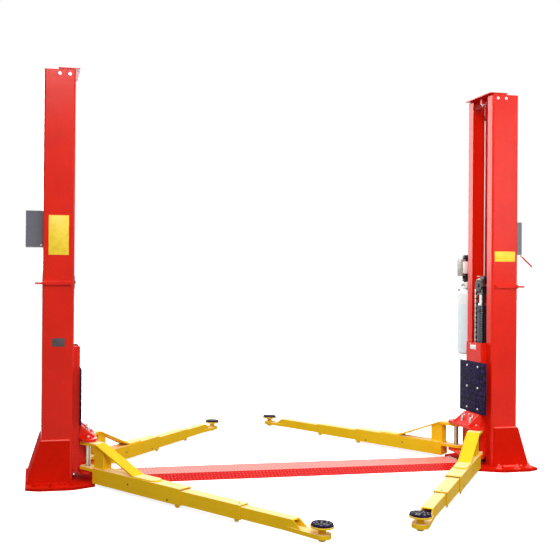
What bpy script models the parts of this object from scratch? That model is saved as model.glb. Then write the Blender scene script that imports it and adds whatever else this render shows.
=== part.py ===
# Two post car lift: two channel columns on floor plates, a hollow carriage in each
# column, four three-stage swing arms with screw pads, chain-over-cylinder drive and
# a floor cover between the posts.
#
# World frame: X runs from the left post to the right one, Y toward the power unit's
# side, Z up, origin on the floor at the middle of the lift's bounding box. MIDDLE_X and
# MIDDLE_Y say where the point midway between the posts lies. Each post is modelled in
# its own frame, with the origin on the floor at the column's centre and +X pointing
# outward. The right post stands at +X. The left one is the same post turned half a turn.
import math

import bmesh
import bpy
from mathutils import Matrix, Vector

# Overall layout
SPAN = 3.354
MIDDLE_X = -0.0500
MIDDLE_Y = -0.0386
SEAT = 0.0003
PAST = 0.010
BITE = 0.001
ARC_STEPS = 4

# Column: a lipped channel that opens toward the other post
COLUMN_X = 0.214
COLUMN_Y = 0.360
COLUMN_HEIGHT = 2.84
COLUMN_WALL = 0.0065
COLUMN_LIP = 0.0745
COLUMN_BEND = 0.012
COLLAR_Z = 1.371
COLLAR_THICK = 0.012
COLLAR_OUT = 0.050
COLLAR_SIDE = 0.012
STRAP_DROP = 0.007
STRAP_TALL = 0.026
STRAP_INNER = -0.085

# Floor plate under each column, with a tongue that reaches under the floor cover
PLATE_THICK = 0.018
PLATE_OUTER = 0.211
PLATE_OUTER_HALF = 0.298
PLATE_HALF = 0.334
PLATE_SHOULDER = 0.125
PLATE_TAPER_START = -0.100
PLATE_TAPER_END = -0.255
PLATE_NECK_HALF = 0.262
TONGUE_END = -0.360
TONGUE_HALF = 0.078
PLATE_CORNER = 0.020
PLATE_BULGE = 0.120
BOSS_INSET = 0.060
BOSS_SPREAD = 0.050
BOSS_RADIUS = 0.014

# Boot: doubler plates and a sloping outer plate round the column's foot
BOOT_TOP = 0.303
BOOT_PLATE = 0.008
BOOT_FOOT = 0.095
BOOT_INNER = -0.085

# Cap over the open side of the column's top
CAP_SHEET = 0.006
CAP_OVERHANG = 0.028
CAP_BACK = 0.012
CAP_RISE = 0.008
CAP_FLANGE = 0.048
CAP_INSET = 0.013
CAP_CHAMFER = 0.016

# Lock cover on the column's back
COVER_DEPTH = 0.116
COVER_HALF = 0.056
COVER_LOW = 1.627
COVER_HIGH = 1.880
COVER_EDGE = 0.006

# Lift cylinder, rod, yoke, sheave and chain
LINE_X = -0.083
CYLINDER_RADIUS = 0.034
CYLINDER_FLOOR = 0.050
CYLINDER_TOP = 1.244
FOOT_RADIUS = 0.046
FOOT_THICK = 0.014
GLAND_RADIUS = 0.026
GLAND_HEIGHT = 0.018
ROD_RADIUS = 0.021
ROD_CLEARANCE = 0.0005
ROD_LOW = 0.300
ROD_SHOWN = 0.070
YOKE_LOW = CYLINDER_TOP + ROD_SHOWN
YOKE_TALL = 0.141
YOKE_SEAT = 0.014
YOKE_HALF = 0.030
YOKE_BACK = 0.025
YOKE_EDGE = 0.004
SHEAVE_X = -0.102
SHEAVE_RISE = 0.071
SHEAVE_Z = YOKE_LOW + SHEAVE_RISE
SHEAVE_SEAT = 0.0440
SHEAVE_RIM = 0.0490
SHEAVE_HALF = 0.0150
AXLE_RADIUS = 0.012
AXLE_END = 0.006
SHEAVE_PLAY = 0.001
CHAIN_HALF = 0.0115
CHAIN_THICK = 0.0095
CHAIN_CARRIAGE_END = 0.620
CHAIN_BASE_END = 0.080

# Equalizer cable
CABLE_X = -0.041
CABLE_Y = 0.042
CABLE_RADIUS = 0.005

# Carriage
CARRIAGE_LOW = 0.076
CARRIAGE_HIGH = 0.943
CARRIAGE_FACE = 0.0458
CARRIAGE_WALL = 0.008
CARRIAGE_NOSE_HALF = 0.104
CARRIAGE_WING_HALF = 0.166
CARRIAGE_WING_FRONT = -0.094
CARRIAGE_BACK = 0.085
SLIDER_LENGTH = 0.080
SLIDER_BACK = -0.015
SLIDER_INSET_LOW = 0.020
SLIDER_INSET_HIGH = 0.010

# Arm head of the carriage
PIN_X = -0.213
PIN_Y = 0.150
PIN_RADIUS = 0.018
PIN_FIT = 0.0003
EAR_RADIUS = 0.060
EAR_THICK = 0.018
EAR_TOP = 0.312
HEAD_FRONT = -0.272
HEAD_BOX_FRONT = -0.198
HEAD_BOX_HALF = 0.078
HOOD_TOP_HALF = 0.096
HOOD_LOW_HALF = 0.112
HOOD_HEIGHT = 0.084
HOOD_LIP = 0.002
HOOD_INSET = 0.012
PIN_HEAD_RADIUS = 0.026
PIN_HEAD = 0.008
PIN_BELOW = 0.006

# Rubber door guard on the carriage's face
GUARD_LOW = 0.398
GUARD_HIGH = 0.793
GUARD_HALF = 0.192
GUARD_THICK = 0.010

# Swing arms, drawn along +X from the pin
LUG_RADIUS = 0.055
LUG_THICK = 0.020
LUG_GAP_TOP = 0.004
LUG_GAP_LOW = 0.006
LUG_HALF = 0.045
LUG_END = 0.132
POST_START = 0.105
POST_END = 0.198
POST_HALF = 0.036
POST_WALL = 0.030
OUTER_LOW = 0.026
OUTER_SIZE = 0.102
OUTER_WALL = 0.005
OUTER_END = 0.920
MIDDLE_WIDE = 0.085
MIDDLE_TALL = 0.084
MIDDLE_WALL = 0.005
MIDDLE_LENGTH = 0.800
INNER_WIDE = 0.068
INNER_TALL = 0.069
INNER_WALL = 0.005
INNER_LENGTH = 0.920
BRACE_START = 0.104
BRACE_LEVEL = 0.128
BRACE_FOOT = 0.505
BRACE_TIP = 0.690
BRACE_THICK = 0.009
BRACE_HALF = 0.046
BRACE_CHAMFER = 0.050
INNER_TIP = 0.115
EYE_RADIUS = 0.049
EYE_THICK = 0.024
EYE_ROOT = 0.100

# Screw pads
STEM_RADIUS = 0.0215
STEM_FIT = 0.0005
STEM_LOW = 0.020
CUP_LOW = 0.086
CUP_FLOOR = 0.097
CUP_RIM = 0.104
CUP_RADIUS = 0.066
CUP_NECK = 0.030
CUP_TAPER = 0.004
RUBBER_RADIUS = 0.0595
RUBBER_TOP = 0.116

# Arms as they stand: side, depth, heading in degrees, how far the middle tube shows
# beyond the outer one, and how far the pad stands beyond the middle tube
ARMS = {
    "front_left": (-1, -1, 53.6, 0.463, 0.534),
    "front_right": (1, -1, 50.9, 0.412, 0.543),
    "rear_left": (-1, 1, 48.8, 0.470, 0.519),
    "rear_right": (1, 1, 56.7, 0.413, 0.605),
}

# Floor cover
COVER_TOP_HALF = 0.108
COVER_FOOT_HALF = 0.200
COVER_RISE = 0.036
COVER_SHEET = 0.004
COVER_END = 1.392

# Power unit on the right column's rear face
UNIT_X = -0.015
UNIT_Y = 0.300
TANK_RADIUS = 0.097
TANK_DROP = 0.005
TANK_TALL = 0.539
TANK_TOP = COLLAR_Z - TANK_DROP
TANK_WALL = 0.004
TANK_MOUTH = 0.050
TANK_NECK = 0.047
TANK_EDGE = 0.012
BLOCK_HALF = 0.058
BLOCK_RISE = 0.039
BLOCK_TOP = COLLAR_Z + BLOCK_RISE
SHELF_THICK = 0.010
BRACKET_HALF = 0.070
BRACKET_LIFT = 0.005
BRACKET_TALL = 0.130
MOTOR_RADIUS = 0.056
MOTOR_TALL = 0.222
MOTOR_SKIRT = 0.012
MOTOR_STEP = 0.006
MOTOR_DOME = 0.018
SWITCH_LIFT = 0.052
SWITCH_TALL = 0.133
SWITCH_HALF = 0.030
SWITCH_OUT = 0.094

# Release handle under the right lock cover
HANDLE_X = 0.218
HANDLE_Y = -0.040
HANDLE_LENGTH = 0.135
HANDLE_RADIUS = 0.0045
GRIP_RADIUS = 0.0055
GRIP_LENGTH = 0.113
HANDLE_ANGLE = 49.0

RED = ("red_powder_coat", (0.80, 0.035, 0.012), 0.38, 0.0)
YELLOW = ("yellow_powder_coat", (0.80, 0.50, 0.035), 0.38, 0.0)
GREY = ("grey_paint", (0.15, 0.17, 0.19), 0.5, 0.0)
BLACK = ("black_paint", (0.012, 0.012, 0.014), 0.45, 0.0)
RUBBER = ("black_rubber", (0.015, 0.015, 0.016), 0.85, 0.0)
CHROME = ("chrome", (0.72, 0.73, 0.74), 0.12, 1.0)
STEEL = ("bright_steel", (0.45, 0.46, 0.48), 0.35, 1.0)
PLASTIC = ("milky_plastic", (0.72, 0.74, 0.72), 0.4, 0.0)


def clear_scene():
    for item in list(bpy.data.objects):
        bpy.data.objects.remove(item, do_unlink=True)


def finish(spec):
    """Return the Principled material that a finish tuple describes."""
    name, colour, roughness, metallic = spec
    material = bpy.data.materials.get(name)
    if material is None:
        material = bpy.data.materials.new(name)
        material.use_nodes = True
        shader = material.node_tree.nodes["Principled BSDF"]
        shader.inputs["Base Color"].default_value = (*colour, 1.0)
        shader.inputs["Roughness"].default_value = roughness
        shader.inputs["Metallic"].default_value = metallic
    return material


def arc(centre, radius, start, end, steps):
    """Points on an arc, angles in degrees, both ends included."""
    points = []
    for index in range(steps + 1):
        angle = math.radians(start + (end - start) * index / steps)
        points.append((centre[0] + radius * math.cos(angle), centre[1] + radius * math.sin(angle)))
    return points


def fillet(corners, radii):
    """Round each corner of a closed outline by its own radius, 0 for a sharp one."""
    points = []
    count = len(corners)
    for index, radius in enumerate(radii):
        corner = Vector(corners[index])
        if radius <= 0:
            points.append(tuple(corner))
            continue
        before = (Vector(corners[index - 1]) - corner).normalized()
        after = (Vector(corners[(index + 1) % count]) - corner).normalized()
        half = before.angle(after) / 2
        reach = radius / math.tan(half)
        centre = corner + (before + after).normalized() * (radius / math.sin(half))
        first = corner + before * reach - centre
        last = corner + after * reach - centre
        turn = first.angle_signed(last)
        for step in range(ARC_STEPS + 1):
            spin = Matrix.Rotation(-turn * step / ARC_STEPS, 2)
            points.append(tuple(centre + spin @ first))
    return points


def mesh_from(bm):
    bmesh.ops.recalc_face_normals(bm, faces=bm.faces)
    mesh = bpy.data.meshes.new("solid")
    bm.to_mesh(mesh)
    bm.free()
    return mesh


def prism(outline, low, high, axis="Z"):
    """Extrude an outline: XY along Z, XZ along Y, or YZ along X."""
    def place(point, level):
        a, b = point
        if axis == "Z":
            return (a, b, level)
        if axis == "Y":
            return (a, level, b)
        return (level, a, b)

    bm = bmesh.new()
    bottom = [bm.verts.new(place(point, low)) for point in outline]
    top = [bm.verts.new(place(point, high)) for point in outline]
    bm.faces.new(bottom)
    bm.faces.new(list(reversed(top)))
    count = len(outline)
    for index in range(count):
        after = (index + 1) % count
        bm.faces.new((bottom[index], top[index], top[after], bottom[after]))
    return mesh_from(bm)


def block(low, high):
    """A box between two opposite corners."""
    outline = [(low[0], low[1]), (high[0], low[1]), (high[0], high[1]), (low[0], high[1])]
    return prism(outline, low[2], high[2])


def loft(lower, low, upper, high):
    """Join two XY outlines of as many points at two heights."""
    bm = bmesh.new()
    bottom = [bm.verts.new((x, y, low)) for x, y in lower]
    top = [bm.verts.new((x, y, high)) for x, y in upper]
    bm.faces.new(bottom)
    bm.faces.new(list(reversed(top)))
    count = len(lower)
    for index in range(count):
        after = (index + 1) % count
        bm.faces.new((bottom[index], top[index], top[after], bottom[after]))
    return mesh_from(bm)


def turned(profile, sides, axis="Z", centre=(0.0, 0.0, 0.0)):
    """Turn a closed profile of (radius, level) points about an axis through centre."""
    bm = bmesh.new()
    rings = []
    for radius, level in profile:
        if radius < 1e-6:
            rings.append([bm.verts.new((0, 0, level))])
            continue
        ring = []
        for step in range(sides):
            angle = math.tau * step / sides
            ring.append(bm.verts.new((radius * math.cos(angle), radius * math.sin(angle), level)))
        rings.append(ring)
    for index, ring in enumerate(rings):
        other = rings[(index + 1) % len(rings)]
        if len(ring) == 1 and len(other) == 1:
            continue
        for step in range(sides):
            after = (step + 1) % sides
            if len(ring) == 1:
                bm.faces.new((ring[0], other[after], other[step]))
            elif len(other) == 1:
                bm.faces.new((ring[step], ring[after], other[0]))
            else:
                bm.faces.new((ring[step], ring[after], other[after], other[step]))
    turn = Matrix.Identity(4)
    if axis == "X":
        turn = Matrix.Rotation(math.pi / 2, 4, "Y")
    if axis == "Y":
        turn = Matrix.Rotation(-math.pi / 2, 4, "X")
    bm.transform(Matrix.Translation(centre) @ turn)
    return mesh_from(bm)


def rod(radius, low, high, sides=24, axis="Z", centre=(0.0, 0.0, 0.0)):
    """A plain round bar between two levels along its axis."""
    return turned([(0, low), (radius, low), (radius, high), (0, high)], sides, axis, centre)


def combine(body, joined=(), cut=()):
    """Fuse solids to a body, then cut others from it, and return the mesh."""
    base = bpy.data.objects.new("body", body)
    bpy.context.collection.objects.link(base)
    tools = []
    for operation, meshes in (("UNION", joined), ("DIFFERENCE", cut)):
        for mesh in meshes:
            tool = bpy.data.objects.new("tool", mesh)
            tool.hide_render = True
            tool.display_type = "WIRE"
            bpy.context.collection.objects.link(tool)
            modifier = base.modifiers.new("join", "BOOLEAN")
            modifier.operation = operation
            modifier.solver = "EXACT"
            modifier.object = tool
            tools.append(tool)
    graph = bpy.context.evaluated_depsgraph_get()
    result = bpy.data.meshes.new_from_object(base.evaluated_get(graph))
    for item in [base] + tools:
        bpy.data.objects.remove(item, do_unlink=True)
    return result


def smooth(mesh, angle=35.0):
    mesh.shade_smooth()
    mesh.set_sharp_from_angle(angle=math.radians(angle))
    return mesh


def add(name, mesh, spec, place=Matrix.Identity(4)):
    """Put a mesh in the scene as a named piece of one finish."""
    if not mesh.materials:
        mesh.materials.append(finish(spec))
    piece = bpy.data.objects.new(name, mesh)
    bpy.context.collection.objects.link(piece)
    piece.matrix_world = place
    return piece


def post_frame(side):
    """World matrix of a post's own frame: +1 is the right post, -1 the left."""
    turn = 0.0 if side > 0 else math.pi
    foot = Matrix.Translation((MIDDLE_X + side * SPAN / 2, MIDDLE_Y, 0))
    return foot @ Matrix.Rotation(turn, 4, "Z")


def pin_frame(side, depth):
    """World matrix at the arm pin of one post, -1 in front and +1 at the rear."""
    return Matrix.Translation((MIDDLE_X + side * (SPAN / 2 + PIN_X), MIDDLE_Y + depth * PIN_Y, 0))


def column():
    half_x = COLUMN_X / 2
    half_y = COLUMN_Y / 2
    slot = half_y - COLUMN_LIP
    inner_x = half_x - COLUMN_WALL
    inner_y = half_y - COLUMN_WALL
    outer = COLUMN_BEND
    inner = COLUMN_BEND - COLUMN_WALL
    corners = [
        (-half_x, -slot), (-half_x, -half_y), (half_x, -half_y),
        (half_x, half_y), (-half_x, half_y), (-half_x, slot),
        (-inner_x, slot), (-inner_x, inner_y), (inner_x, inner_y),
        (inner_x, -inner_y), (-inner_x, -inner_y), (-inner_x, -slot),
    ]
    radii = [0, outer, outer, outer, outer, 0, 0, inner, inner, inner, inner, 0]
    channel = prism(fillet(corners, radii), PLATE_THICK + SEAT, COLUMN_HEIGHT)
    reach = half_y + COLLAR_SIDE
    back = half_x + COLLAR_OUT
    top = COLLAR_Z + COLLAR_THICK
    ledge = block((STRAP_INNER, -reach, COLLAR_Z), (back, reach, top))
    strap_low = COLLAR_Z - STRAP_DROP
    strap_high = strap_low + STRAP_TALL
    straps = [block((STRAP_INNER, side * reach, strap_low), (half_x, side * inner_y, strap_high))
              for side in (-1, 1)]
    core = block((-COLUMN_X, -inner_y - SEAT, strap_low - PAST),
                 (inner_x + SEAT, inner_y + SEAT, strap_high + PAST))
    collar = combine(ledge, joined=straps, cut=[core])
    return smooth(combine(channel, joined=[collar]))


def base_plate():
    half = [
        (TONGUE_END, -TONGUE_HALF), (PLATE_TAPER_END, -TONGUE_HALF), (PLATE_TAPER_END, -PLATE_NECK_HALF),
        (PLATE_TAPER_START, -PLATE_HALF), (PLATE_SHOULDER, -PLATE_HALF), (PLATE_OUTER, -PLATE_OUTER_HALF),
    ]
    rounding = [0, 0, PLATE_CORNER, PLATE_BULGE, PLATE_BULGE, PLATE_CORNER]
    corners = mirrored(half)
    radii = rounding + rounding[::-1]
    plate = prism(fillet(corners, radii), 0.0, PLATE_THICK)
    bosses = []
    for side in (-1, 1):
        centre = (TONGUE_END + BOSS_INSET, side * BOSS_SPREAD, 0)
        bosses.append(rod(BOSS_RADIUS, PLATE_THICK / 2, COVER_RISE - COVER_SHEET - SEAT, 16, centre=centre))
    return smooth(combine(plate, joined=bosses))


def boot():
    half_y = COLUMN_Y / 2 + SEAT
    back = COLUMN_X / 2 + SEAT
    low = PLATE_THICK + SEAT
    outline = [
        (BOOT_INNER, low), (back + BOOT_FOOT, low),
        (back + BOOT_PLATE, BOOT_TOP), (BOOT_INNER, BOOT_TOP),
    ]
    hollow = [
        (BOOT_INNER - PAST, 0), (back + BOOT_FOOT - BOOT_PLATE, 0),
        (back, BOOT_TOP), (back, BOOT_TOP + PAST), (BOOT_INNER - PAST, BOOT_TOP + PAST),
    ]
    shell = prism(outline, -half_y - BOOT_PLATE, half_y + BOOT_PLATE, "Y")
    return combine(shell, cut=[prism(hollow, -half_y, half_y, "Y")])


def top_cap():
    """Flat lid on two flanges that are bolted inside the channel's sides."""
    half_y = COLUMN_Y / 2
    inner_y = half_y - COLUMN_WALL - SEAT
    under = COLUMN_HEIGHT + CAP_RISE
    low = COLUMN_HEIGHT - CAP_FLANGE
    mouth = -COLUMN_X / 2
    lid = block((mouth - CAP_OVERHANG, -half_y, under), (CAP_BACK, half_y, under + CAP_SHEET))
    flange = [
        (mouth + CAP_INSET, low + CAP_CHAMFER), (mouth + CAP_INSET + CAP_CHAMFER, low),
        (CAP_BACK - CAP_CHAMFER, low), (CAP_BACK, low + CAP_CHAMFER),
        (CAP_BACK, under + CAP_SHEET / 2), (mouth + CAP_INSET, under + CAP_SHEET / 2),
    ]
    flanges = []
    for side in (-1, 1):
        near, far = sorted((side * inner_y, side * (inner_y - CAP_SHEET)))
        flanges.append(prism(flange, near, far, "Y"))
    return combine(lid, joined=flanges)


def lock_cover():
    start = COLUMN_X / 2 + SEAT
    corners = [
        (start, -COVER_HALF), (start + COVER_DEPTH, -COVER_HALF),
        (start + COVER_DEPTH, COVER_HALF), (start, COVER_HALF),
    ]
    outline = fillet(corners, [0, COVER_EDGE, COVER_EDGE, 0])
    return smooth(prism(outline, COVER_LOW, COVER_HIGH))


def cylinder():
    low = PLATE_THICK + SEAT
    bore = ROD_RADIUS + ROD_CLEARANCE
    profile = [
        (0, low), (FOOT_RADIUS, low), (FOOT_RADIUS, low + FOOT_THICK),
        (CYLINDER_RADIUS, low + FOOT_THICK), (CYLINDER_RADIUS, CYLINDER_TOP - GLAND_HEIGHT),
        (GLAND_RADIUS, CYLINDER_TOP - GLAND_HEIGHT), (GLAND_RADIUS, CYLINDER_TOP),
        (bore, CYLINDER_TOP), (bore, CYLINDER_FLOOR), (0, CYLINDER_FLOOR),
    ]
    return smooth(turned(profile, 24, centre=(LINE_X, 0, 0)))


def yoke():
    """The rod with the head block that carries the chain sheave on its open side."""
    stem = rod(ROD_RADIUS, ROD_LOW, YOKE_LOW + YOKE_EDGE, centre=(LINE_X, 0, 0))
    front = SHEAVE_X + SHEAVE_HALF + SHEAVE_PLAY
    corners = [(front, -YOKE_HALF), (LINE_X + YOKE_BACK, -YOKE_HALF),
               (LINE_X + YOKE_BACK, YOKE_HALF), (front, YOKE_HALF)]
    head = prism(fillet(corners, [YOKE_EDGE] * 4), YOKE_LOW, YOKE_LOW + YOKE_TALL)
    seat = block((LINE_X - YOKE_BACK, -YOKE_HALF, YOKE_LOW),
                 (LINE_X + YOKE_BACK - YOKE_EDGE, YOKE_HALF, YOKE_LOW + YOKE_SEAT))
    end = SHEAVE_X - SHEAVE_HALF - AXLE_END
    axle = rod(AXLE_RADIUS, end, LINE_X, 24, "X", (0, 0, SHEAVE_Z))
    return smooth(combine(stem, joined=[head, seat, axle]))


def sheave():
    """Chain wheel with a flat seat between two rims."""
    bore = AXLE_RADIUS + SEAT
    seat_half = CHAIN_HALF + SHEAVE_PLAY
    profile = [
        (bore, -SHEAVE_HALF), (SHEAVE_RIM, -SHEAVE_HALF), (SHEAVE_RIM, -seat_half),
        (SHEAVE_SEAT, -seat_half), (SHEAVE_SEAT, seat_half), (SHEAVE_RIM, seat_half),
        (SHEAVE_RIM, SHEAVE_HALF), (bore, SHEAVE_HALF),
    ]
    return smooth(turned(profile, 28, "X", (SHEAVE_X, 0, SHEAVE_Z)))


def chain():
    """Leaf chain over the sheave, one run to the carriage and one to the base."""
    inner = SHEAVE_SEAT + SEAT
    outer = inner + CHAIN_THICK
    outline = [(outer, CHAIN_CARRIAGE_END)]
    outline += arc((0, SHEAVE_Z), outer, 0, 180, 14)
    outline += [(-outer, CHAIN_BASE_END), (-inner, CHAIN_BASE_END)]
    outline += arc((0, SHEAVE_Z), inner, 180, 0, 14)
    outline += [(inner, CHAIN_CARRIAGE_END)]
    return smooth(prism(outline, SHEAVE_X - CHAIN_HALF, SHEAVE_X + CHAIN_HALF, "X"))


def cable():
    top = COLUMN_HEIGHT + CAP_RISE - SEAT
    return smooth(rod(CABLE_RADIUS, PLATE_THICK + SEAT, top, 12, centre=(CABLE_X, CABLE_Y, 0)))


def mirrored(points):
    """Close a half outline, drawn on the -Y side, with its mirror image."""
    return points + [(x, -y) for x, y in reversed(points)]


def head_outline():
    """Plan of the plates that carry the arm pins: an ear round each pin."""
    back = -COLUMN_X / 2 - CARRIAGE_FACE + CARRIAGE_WALL / 2
    half = [(back, -CARRIAGE_NOSE_HALF)]
    half += arc((PIN_X, -PIN_Y), EAR_RADIUS, -30, -178, 14)
    half += [(HEAD_FRONT, -PIN_Y)]
    return mirrored(half)


def carriage():
    face = -COLUMN_X / 2 - CARRIAGE_FACE
    wall = CARRIAGE_WALL
    nose = CARRIAGE_NOSE_HALF
    wing = CARRIAGE_WING_HALF
    shell = mirrored([(face, -nose), (CARRIAGE_WING_FRONT, -nose), (CARRIAGE_WING_FRONT, -wing),
                      (CARRIAGE_BACK, -wing)])
    shell = [shell[3], shell[2], shell[1], shell[0], shell[7], shell[6], shell[5], shell[4]]
    hollow = [
        (CARRIAGE_BACK - wall, -wing + wall), (CARRIAGE_WING_FRONT + wall, -wing + wall),
        (CARRIAGE_WING_FRONT + wall, -nose + wall), (face + wall, -nose + wall),
        (face + wall, nose - wall), (CARRIAGE_WING_FRONT + wall, nose - wall),
        (CARRIAGE_WING_FRONT + wall, wing - wall), (CARRIAGE_BACK - wall, wing - wall),
    ]
    ear_low = CARRIAGE_LOW + EAR_THICK
    ear_under = EAR_TOP - EAR_THICK
    joined = [
        prism(head_outline(), CARRIAGE_LOW, ear_low),
        prism(head_outline(), ear_under, EAR_TOP),
    ]
    joined.append(block((HEAD_BOX_FRONT, -HEAD_BOX_HALF, CARRIAGE_LOW + EAR_THICK / 2),
                        (face + wall / 2, HEAD_BOX_HALF, EAR_TOP - EAR_THICK / 2)))
    hood_low = [(face + wall / 2, -HOOD_LOW_HALF), (face + wall / 2, HOOD_LOW_HALF),
                (HEAD_FRONT + HOOD_INSET, HOOD_LOW_HALF), (HEAD_FRONT + HOOD_INSET, -HOOD_LOW_HALF)]
    hood_high = [(face + wall / 2, -HOOD_TOP_HALF), (face + wall / 2, HOOD_TOP_HALF),
                 (face - HOOD_LIP, HOOD_TOP_HALF), (face - HOOD_LIP, -HOOD_TOP_HALF)]
    joined.append(loft(hood_low, EAR_TOP - EAR_THICK / 2, hood_high, EAR_TOP + HOOD_HEIGHT))
    inside = COLUMN_Y / 2 - COLUMN_WALL - SEAT
    lip = -COLUMN_X / 2 + COLUMN_WALL + SEAT
    for low in (CARRIAGE_LOW + SLIDER_INSET_LOW, CARRIAGE_HIGH - SLIDER_LENGTH - SLIDER_INSET_HIGH):
        for side in (-1, 1):
            root = side * (wing - wall / 2)
            outline = [
                (lip, root), (SLIDER_BACK, root), (SLIDER_BACK, side * inside),
                (lip + COLUMN_BEND, side * inside), (lip, side * (inside - COLUMN_BEND / 2)),
            ]
            joined.append(prism(outline, low, low + SLIDER_LENGTH))
    cut = [prism(hollow, CARRIAGE_LOW - PAST, CARRIAGE_HIGH + PAST)]
    for side in (-1, 1):
        cut.append(rod(PIN_RADIUS + PIN_FIT, CARRIAGE_LOW - PAST, EAR_TOP + PAST,
                       centre=(PIN_X, side * PIN_Y, 0)))
    tube = prism(shell, CARRIAGE_LOW, CARRIAGE_HIGH)
    return smooth(combine(tube, joined=joined, cut=cut))


def arm_pin():
    """Headed pin through the carriage's ears, drawn on its own axis."""
    top = EAR_TOP + SEAT
    profile = [
        (0, CARRIAGE_LOW - PIN_BELOW), (PIN_RADIUS, CARRIAGE_LOW - PIN_BELOW),
        (PIN_RADIUS, top), (PIN_HEAD_RADIUS, top), (PIN_HEAD_RADIUS, top + PIN_HEAD),
        (0, top + PIN_HEAD),
    ]
    return smooth(turned(profile, 24))


def door_guard():
    face = -COLUMN_X / 2 - CARRIAGE_FACE - SEAT
    return block((face - GUARD_THICK, -GUARD_HALF, GUARD_LOW), (face, GUARD_HALF, GUARD_HIGH))


def square_tube(start, end, wide, low, tall, wall):
    """Square tube along X, open at both ends, as a body and its hollow."""
    half = wide / 2
    body = block((start, -half, low), (end, half, low + tall))
    hollow = block((start - PAST, -half + wall, low + wall), (end + PAST, half - wall, low + tall - wall))
    return body, hollow


def lug_outline():
    """Round lug at the pin that runs out to the knuckle's post."""
    points = arc((0, 0), LUG_RADIUS, 125, 235, 12)
    return points + [(LUG_END, -LUG_HALF), (LUG_END, LUG_HALF)]


def arm_outer():
    """Knuckle with its two lugs, post and open brace, and the outer tube."""
    lug_top = EAR_TOP - EAR_THICK - LUG_GAP_TOP
    lug_low = CARRIAGE_LOW + EAR_THICK + LUG_GAP_LOW
    tube_top = OUTER_LOW + OUTER_SIZE
    half = OUTER_SIZE / 2
    fall = (lug_top - tube_top - BRACE_THICK) / (BRACE_FOOT - BRACE_LEVEL)
    body = block((POST_START, -half, OUTER_LOW), (OUTER_END, half, tube_top))
    hollow = block((POST_START + POST_WALL, -half + OUTER_WALL, OUTER_LOW + OUTER_WALL),
                   (OUTER_END + PAST, half - OUTER_WALL, tube_top - OUTER_WALL))
    under = lug_top - BRACE_THICK / 2
    upright = [
        (POST_START, tube_top - OUTER_WALL / 2), (POST_END, tube_top - OUTER_WALL / 2),
        (POST_END, under - fall * (POST_END - BRACE_LEVEL)), (BRACE_LEVEL, under), (POST_START, under),
    ]
    post = prism(upright, -POST_HALF, POST_HALF, "Y")
    top_lug = prism(lug_outline(), lug_top - LUG_THICK, lug_top)
    low_lug = prism(lug_outline(), lug_low, lug_low + LUG_THICK)
    brace = [
        (BRACE_START, lug_top), (BRACE_LEVEL, lug_top),
        (BRACE_FOOT, tube_top + BRACE_THICK), (BRACE_TIP, tube_top + BRACE_THICK),
        (BRACE_TIP, tube_top - BITE), (BRACE_FOOT - PAST, tube_top - BITE),
        (BRACE_LEVEL - BITE, lug_top - BRACE_THICK), (BRACE_START, lug_top - BRACE_THICK),
    ]
    strap = prism(brace, -BRACE_HALF, BRACE_HALF, "Y")
    tips = []
    for side in (-1, 1):
        edge = side * (BRACE_HALF + PAST)
        outline = [(BRACE_TIP - BRACE_CHAMFER, edge), (BRACE_TIP + PAST, edge),
                   (BRACE_TIP + PAST, side * (BRACE_HALF - BRACE_CHAMFER / 2))]
        tips.append(prism(outline, tube_top + SEAT, lug_top))
    strap = combine(strap, cut=tips)
    holes = [hollow, rod(PIN_RADIUS + 2 * PIN_FIT, lug_low - PAST, lug_top + PAST)]
    return smooth(combine(body, joined=[post, top_lug, low_lug, strap], cut=holes))


def arm_middle():
    """Middle tube, drawn back from its own outer end at X = 0."""
    low = OUTER_LOW + OUTER_WALL + SEAT
    body, hollow = square_tube(-MIDDLE_LENGTH, 0, MIDDLE_WIDE, low, MIDDLE_TALL, MIDDLE_WALL)
    return combine(body, cut=[hollow])


def arm_inner():
    """Inner tube with a slanted end and the eye of the screw pad at X = 0."""
    low = OUTER_LOW + OUTER_WALL + MIDDLE_WALL + 2 * SEAT
    tip = -INNER_TIP
    root = tip - EYE_ROOT
    body, hollow = square_tube(-INNER_LENGTH, tip, INNER_WIDE, low, INNER_TALL, INNER_WALL)
    eye_outline = arc((0, 0), EYE_RADIUS, -90, 90, 16)
    eye_outline += [(root, INNER_WIDE / 2), (root, -INNER_WIDE / 2)]
    eye = prism(eye_outline, low, low + EYE_THICK)
    slant = [(tip + BITE, low + EYE_THICK), (tip + BITE, low + INNER_TALL + PAST),
             (tip - INNER_TALL, low + INNER_TALL + PAST)]
    tube = combine(body, cut=[hollow, prism(slant, -INNER_WIDE, INNER_WIDE, "Y")])
    bore = rod(STEM_RADIUS + STEM_FIT, low - PAST, low + EYE_THICK + PAST)
    return smooth(combine(tube, joined=[eye], cut=[bore]))


def lift_pad():
    """Screw stem with the flared cup that holds the rubber."""
    seat = RUBBER_RADIUS + SEAT
    profile = [
        (0, STEM_LOW), (STEM_RADIUS, STEM_LOW), (STEM_RADIUS, CUP_LOW - 2 * CUP_TAPER),
        (CUP_NECK, CUP_LOW), (CUP_RADIUS, CUP_FLOOR - CUP_TAPER), (CUP_RADIUS, CUP_RIM),
        (seat, CUP_RIM), (seat, CUP_FLOOR), (0, CUP_FLOOR),
    ]
    return smooth(turned(profile, 24))


def pad_rubber():
    return smooth(rod(RUBBER_RADIUS, CUP_FLOOR + SEAT, RUBBER_TOP, 24))


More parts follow.
